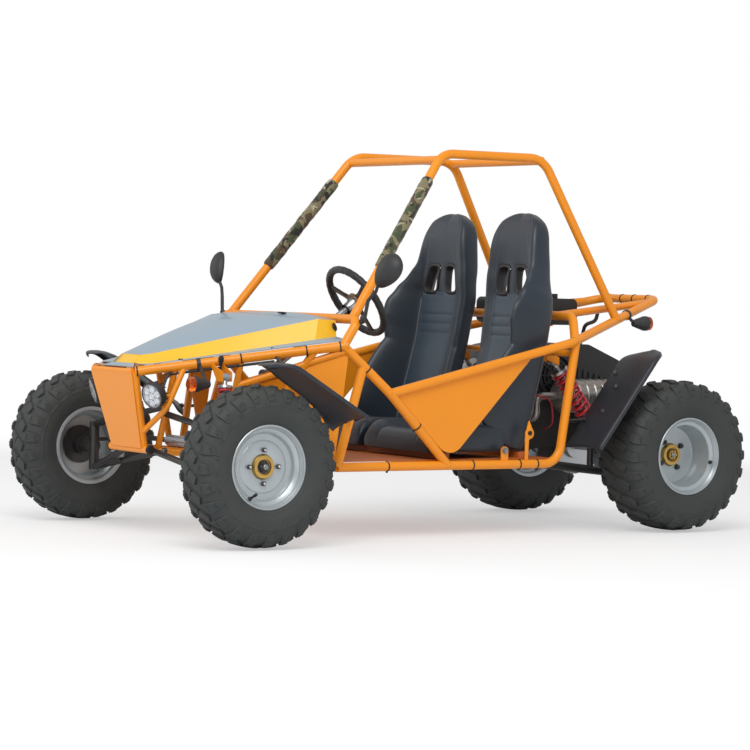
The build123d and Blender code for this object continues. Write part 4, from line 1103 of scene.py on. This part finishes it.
def lampPieces():
    cup, inside, front = Shape(), Shape(), Shape()
    at = facing(lamps["centre"], lamps["aim"])
    cup.add(lathe([(0, -44), (18, -44), (20, -43), (34, -34), (42, -27), (44, -20), (46, -16), (46, -1), (45, 2), (42.5, 3),
                   (41.5, 1), (41, -8), (0, -9)], 56), at)
    for i in range(12):  # cooling ribs round the cup
        cup.add(block(14, 2.6, 13, 0.5), at @ turnBy(pi / 6 * i) @ shiftBy(35, 0, -31))
    spots = [(0, 0)] + ring(25, 6, 0.3)
    for x, y in spots:
        inside.add(lathe([(0, -7), (3, -7.5), (8, -5), (11.4, -0.5), (12.2, -0.5)], 24), at @ shiftBy(x, y, 0))
    front.add(lathe([(0, 6), (20, 5.4), (36, 3.4), (41.3, 1.2), (41.3, -0.5), (0, 0)], 48), at)
    for (x, y, z), ahead, root in lamps["signals"]:
        cone = [(0, -62), (9, -62), (12, -60), (17, -44), (25, -18), (27, -12), (27, 1), (25.6, 2), (25.2, 0), (0, -2)]
        cup.add(lathe(cone, 36), facing((x, y, z), (ahead, 0, 0)))
        cup.add(tube([root, (x - 54 * ahead, y, z)], 6.0, 14))
        cup.add(lathe([(17, -7), (19, -6), (19, 6), (17, 7)], 24), facing(root, lamps["rails"][ahead]))
    for shape in (cup, inside, front):
        shape.mirrorAdd()
    inside.piece("headlamp_reflectors", "damper_steel", "reflector", sharp=50)
    cup.piece("headlamp_cups", "shroud_plastic", "blackPlastic", replaces=["lamp_bodies"], sharp=35)
    front.piece("headlamp_glass", "lens_clear", "clearLens", replaces=["headlamp_lenses"], sharp=35)


lampPieces()
print("lamps made")


# Straps, bolts, caps and tabs on the frame

straps = {
    "radius": 16.0,
    "rows": [  # direction of the tube, places along it
        ((-0.89, 0.43, 0.14), [(1116, 144, 561), (802, 295, 610), (603, 391, 641), (500, 440, 657)]),
        ((-0.74, 0.13, -0.66), [(403, 461, 579)]),
        ((-0.71, 0, -0.7), [(200, 470, 385)]),
        ((0, 1, 0), [(-1075, 36, 836), (-1075, 118, 836)]),
        ((1, 0, 0), [(313, 460, 250), (-41, 460, 250), (-242, 460, 250), (-318, 460, 250)]),
    ],
}


def strapPiece():
    form = Shape()
    r = straps["radius"]
    band = [(r + 0.3, -2.4), (r + 1.6, -2.2), (r + 1.8, 0), (r + 1.6, 2.2), (r + 0.3, 2.4)]
    for way, spots in straps["rows"]:
        for spot in spots:
            place = facing(spot, way)
            form.add(lathe(band, 32), place)
            form.add(block(7, 6, 5, 0.8), place @ shiftBy(0, -r - 3, 0))
    form.mirrorAdd()
    form.piece("tie_straps", "shroud_plastic", "trimRubber")


fasteners = {
    "bolts": [  # place, direction, radius
        ((-180, 463.5, 298), (0, 1, 0), 6.5), ((-590, 484, 437), (0.8, 0, 0.6), 4.5),
        ((760, 640, 570), (-0.5, 0, 0.86), 4.5), ((620, 640, 487), (-0.5, 0, 0.86), 4.5),
        ((-650, 480, 524), (0.8, 0, 0.6), 4.5), ((1004, 141, 292), (0.2, 1, 0), 6.0),
    ],
    "cap": (1056, 135.2, 296),
    "tab": (-285, 461, 359),  # belt tab, the middle of its eye
    "tabOutline": [(18, -100), (18, 2), (12, 14), (6, 38), (2, 44), (-10, 18), (-18, 6), (-19, -6), (-14, -16), (2, -24),
                   (4, -100)],
    "noseEdge": [(1130, -139, 561), (1130, 139, 561)],  # rolled top edge of the nose panel
}


def fastenerPieces():
    bolts, caps, tabs = Shape(), Shape(), Shape()
    for spot, way, radius in fasteners["bolts"]:
        bolts.add(bolt(radius, radius * 1.1), facing(spot, way))
    bolts.mirrorAdd().piece("frame_bolts", "damper_steel", "boltSteel")
    eye = Vector(fasteners["tab"])
    caps.add(lathe([(0, 0), (17, 0), (17, 3), (13, 7), (0, 8)], 28), facing(fasteners["cap"], (0, 1, 0)))
    caps.add(lathe([(0, 0), (8, 0), (8, 4), (0, 5)], 20), facing(eye + Vector((0, 2.6, 0)), (0, 1, 0)))
    tabs.add(prism(fasteners["tabOutline"], 5, 0.8), Matrix.Translation(eye) @ Matrix.Rotation(pi / 2, 4, "X"))
    tabs.mirrorAdd().add(tube(fasteners["noseEdge"], 9.0, 18))
    tabs.piece("frame_tabs", "frame_paint", "orangePaint")
    caps.mirrorAdd().piece("bumper_caps", "shroud_plastic", "trimRubber")


strapPiece()
fastenerPieces()
print("straps and bolts made")


# Engine bay: fan cover, ribs, exhaust pipe, brake caliper, chain and lines

bay = {
    "fan": (-668, 90, 548), "fanRadius": 74.0,
    "exhaust": [(-530, 84, 392), (-530, 165, 392), (-530, 165, 476), (-640, 165, 476)],
    "hose": [(-815, 150, 790), (-812, 140, 752), (-780, 118, 738), (-796, 60, 640)],
    "cable": [(-500, 200, 481), (-566, 200, 458), (-578, 200, 380), (-600, 120, 350)],
    "loom": [(1056, 205, 490), (1030, 200, 548), (1000, 200, 556), (850, 272, 580), (700, 344, 603)],
    "chain": ((-912, 276, 104.5), (-668, 330, 34.0), -107.0), "link": 15.9,
    "caliper": (-912, 120, 276), "caliperTurn": -radians(62),
}


def bayPieces():
    cover, metal = Shape(), Shape()
    fan = facing(bay["fan"], (0, 1, 0))
    r = bay["fanRadius"]
    cover.add(lathe([(r + 6, -1), (r + 6, 8), (r + 2, 12), (r - 4, 12), (r - 6, 8), (r - 6, -1)], 56), fan)
    for level in (0.3, 0.52, 0.74):
        cover.add(lathe([(r * level - 3, 0), (r * level - 2, 8), (r * level + 2, 8), (r * level + 3, 0)], 48), fan)
    for i in range(10):
        cover.add(block(r * 0.8, 5, 9, 0.8), fan @ turnBy(pi / 5 * i) @ shiftBy(r * 0.52, 0, 4))
    cover.add(lathe([(0, 12), (15, 11), (18, 6), (18, 0)], 32), fan)
    for i in range(6):  # ribs beside the fan
        cover.add(block(10, 7, 92 - 6 * i, 1.5), shiftBy(-775 - 26 * i, 92, 530 - 4 * i))
    for spot in ((-575, 92, 470), (-575, 92, 630), (-762, 92, 470), (-762, 92, 612)):
        metal.add(bolt(5.0, 5.0), facing(spot, (0, 1, 0)))
    metal.add(tube(bent(bay["exhaust"], 30), 14.0, 18))
    metal.add(lathe([(15, -6), (30, -6), (30, 4), (15, 4)], 28), facing(bay["exhaust"][0], (0, 1, 0)))
    cover.add(tube(bent(bay["hose"], 24), 7.0, 12))
    cover.add(tube(curveThrough(bay["loom"], 40), 5.0, 10))
    cover.piece("engine_trim", "shroud_plastic", "blackPlastic", sharp=35)
    metal.piece("exhaust_pipe", "muffler_metal", "mufflerMetal", sharp=35)
    cable = Shape().add(tube(curveThrough(bay["cable"], 30), 3.0, 10))
    cable.piece("red_cable", "spring_red", "springRed", sharp=180)


def chainPath():  # outer tangents round the two sprockets
    (x0, z0, r0), (x1, z1, r1), y = bay["chain"]
    first, second = Vector((x0, 0, z0)), Vector((x1, 0, z1))
    ahead = (second - first).normalized()
    across = Vector((-ahead.z, 0, ahead.x))
    lean = (r0 - r1) / (second - first).length
    turn = pi / 2 - lean
    points = []
    for middle, radius, start, stop in ((second, r1, turn, -turn), (first, r0, -turn, turn - 2 * pi)):
        for i in range(41):
            angle = start + (stop - start) * i / 40
            points.append(middle + (ahead * cos(angle) + across * sin(angle)) * radius + Vector((0, y, 0)))
    return points


def chainPiece():
    points = chainPath()
    points.append(points[0])
    form, rest, flip = Shape(), 0.0, 0
    axle = Vector((0, 1, 0))
    for a, b in zip(points, points[1:]):
        span, way = (b - a).length, (b - a).normalized()
        while rest < span:
            place = Matrix.Translation(a + way * rest) @ axesOf(way, axle, way.cross(axle))
            wide = 9.0 if flip else 6.2
            for side in (1, -1):
                form.add(block(19.0, 1.8, 7.0, 0.5), place @ shiftBy(0, side * wide / 2, 0))
            flip = 1 - flip
            rest += bay["link"]
        rest -= span
    form.piece("drive_chain", "damper_steel", "boltSteel", sharp=35)
    grip = Shape()
    place = Matrix.Translation(bay["caliper"]) @ Matrix.Rotation(bay["caliperTurn"], 4, "Y")
    for side in (1, -1):
        grip.add(block(44, 46, 15, 3), place @ shiftBy(88, side * 14, 0) @ Matrix.Rotation(pi / 2, 4, "X"))
    grip.add(block(14, 44, 40, 3), place @ shiftBy(107, 0, 0))
    grip.piece("brake_caliper", "engine_metal", "castMetal", sharp=35)


bayPieces()
chainPiece()
print("engine bay made")


# Finishes of the pieces that keep their own solids

nodeFinish = {
    "orangePaint": ["floor_rails", "upper_rails", "side_braces", "hood_rails", "dash_hoop", "roof_hoops", "cross_bars",
                    "rack_tubes", "nose_frame", "frame_brackets", "side_panels", "front_panel"],
    "floorPaint": ["floor_pan"],
    "brightSteel": ["steering_column", "dampers", "axle_shaft", "sprocket"],
    "blackPaint": ["front_arms", "swing_arm", "pedals", "steering_rack", "knuckle_left", "knuckle_right"],
    "castMetal": ["engine"],
    "blackPlastic": ["engine_shroud", "fuel_tank"],
    "mufflerMetal": ["muffler"],
    "amberLens": ["turn_lenses"],
}
for finishName, owners in nodeFinish.items():
    for owner in owners:
        nodes[owner].data.materials.clear()
        nodes[owner].data.materials.append(finishes[finishName])
print("frame painted")


# Floor, light and camera

studio = {
    "floorSize": 30.0, "fadeFrom": 2.2, "fadeTo": 6.0, "floorShade": 0.93, "sky": 0.6, "aim": (0, 0, 0.4),
    "lights": {"key": ((3.5, 4.5, 6.0), 4.5, 330.0), "fill": ((5.0, -4.0, 3.5), 4.0, 70.0)},  # place, size, power
}
plainWhite = (1, 1, 1, 1)


def makeFloor():
    mesh = bpy.data.meshes.new("floor")
    h = studio["floorSize"]
    mesh.from_pydata([(-h, -h, 0), (h, -h, 0), (h, h, 0), (-h, h, 0)], [], [(0, 1, 2, 3)])
    material, tree, shader = newMaterial("paleFloor")
    setInputs(shader, Base_Color=(studio["floorShade"],) * 3 + (1,), Roughness=0.9, Specular_IOR_Level=0.1)
    place = addNode(tree, "TexCoord")
    reach = addNode(tree, "VectorMath", operation="LENGTH")
    link(tree, place.outputs["Object"], reach.inputs[0])
    fade = addNode(tree, "MapRange", interpolation_type="SMOOTHSTEP", From_Min=studio["fadeFrom"], From_Max=studio["fadeTo"])
    link(tree, reach.outputs["Value"], fade.inputs["Value"])
    white = addNode(tree, "Emission", Strength=1.0)
    blend = addNode(tree, "MixShader")
    light = addNode(tree, "LightPath")
    seen = maths(tree, "MULTIPLY", maths(tree, "MAXIMUM", fade.outputs[0], 0.45), light.outputs["Is Camera Ray"])
    link(tree, seen, blend.inputs[0])
    link(tree, shader.outputs[0], blend.inputs[1])
    link(tree, white.outputs[0], blend.inputs[2])
    link(tree, blend.outputs[0], tree.nodes["Material Output"].inputs["Surface"])
    mesh.materials.append(material)
    setDown("floor", mesh)


def makeLight():
    world = bpy.data.worlds.new("softSky")
    bpy.context.scene.world = world
    world.use_nodes = True
    tree = world.node_tree
    sky = tree.nodes["Background"]
    setInputs(sky, Color=plainWhite, Strength=studio["sky"])
    seen = addNode(tree, "Background", Color=plainWhite, Strength=1.0)
    path = addNode(tree, "LightPath")
    both = addNode(tree, "MixShader")
    shown = maths(tree, "MAXIMUM", path.outputs["Is Camera Ray"], path.outputs["Is Transmission Ray"])
    link(tree, shown, both.inputs[0])
    link(tree, sky.outputs[0], both.inputs[1])
    link(tree, seen.outputs[0], both.inputs[2])
    link(tree, both.outputs[0], tree.nodes["World Output"].inputs["Surface"])
    for name, (spot, size, power) in studio["lights"].items():
        data = bpy.data.lights.new(name, "AREA")
        data.size, data.energy = size, power
        lamp = setDown(name, data)
        lamp.location = spot
        lamp.rotation_euler = (Vector(studio["aim"]) - Vector(spot)).to_track_quat("-Z", "Y").to_euler()


photoCamera = {"place": (5.9151, 8.9072, 0.8838), "azimuth": 236.717, "elevation": -1.822, "roll": 1.323, "lens": 142.79}


def makeCamera():
    az, el, roll = (radians(photoCamera[k]) for k in ("azimuth", "elevation", "roll"))
    ahead = Vector((cos(el) * cos(az), cos(el) * sin(az), sin(el)))
    right = ahead.cross(Vector((0, 0, 1))).normalized()
    up = right.cross(ahead)
    right, up = cos(roll) * right + sin(roll) * up, -sin(roll) * right + cos(roll) * up
    data = bpy.data.cameras.new("photoCamera")
    data.lens, data.sensor_width = photoCamera["lens"], 36.0
    data.clip_end = 100.0
    obj = setDown("photoCamera", data)
    obj.matrix_world = Matrix.Translation(photoCamera["place"]) @ axesOf(right, up, -ahead)
    bpy.context.scene.camera = obj


makeFloor()
makeLight()
makeCamera()
bpy.context.scene.view_settings.view_transform = "Standard"
print("studio made")
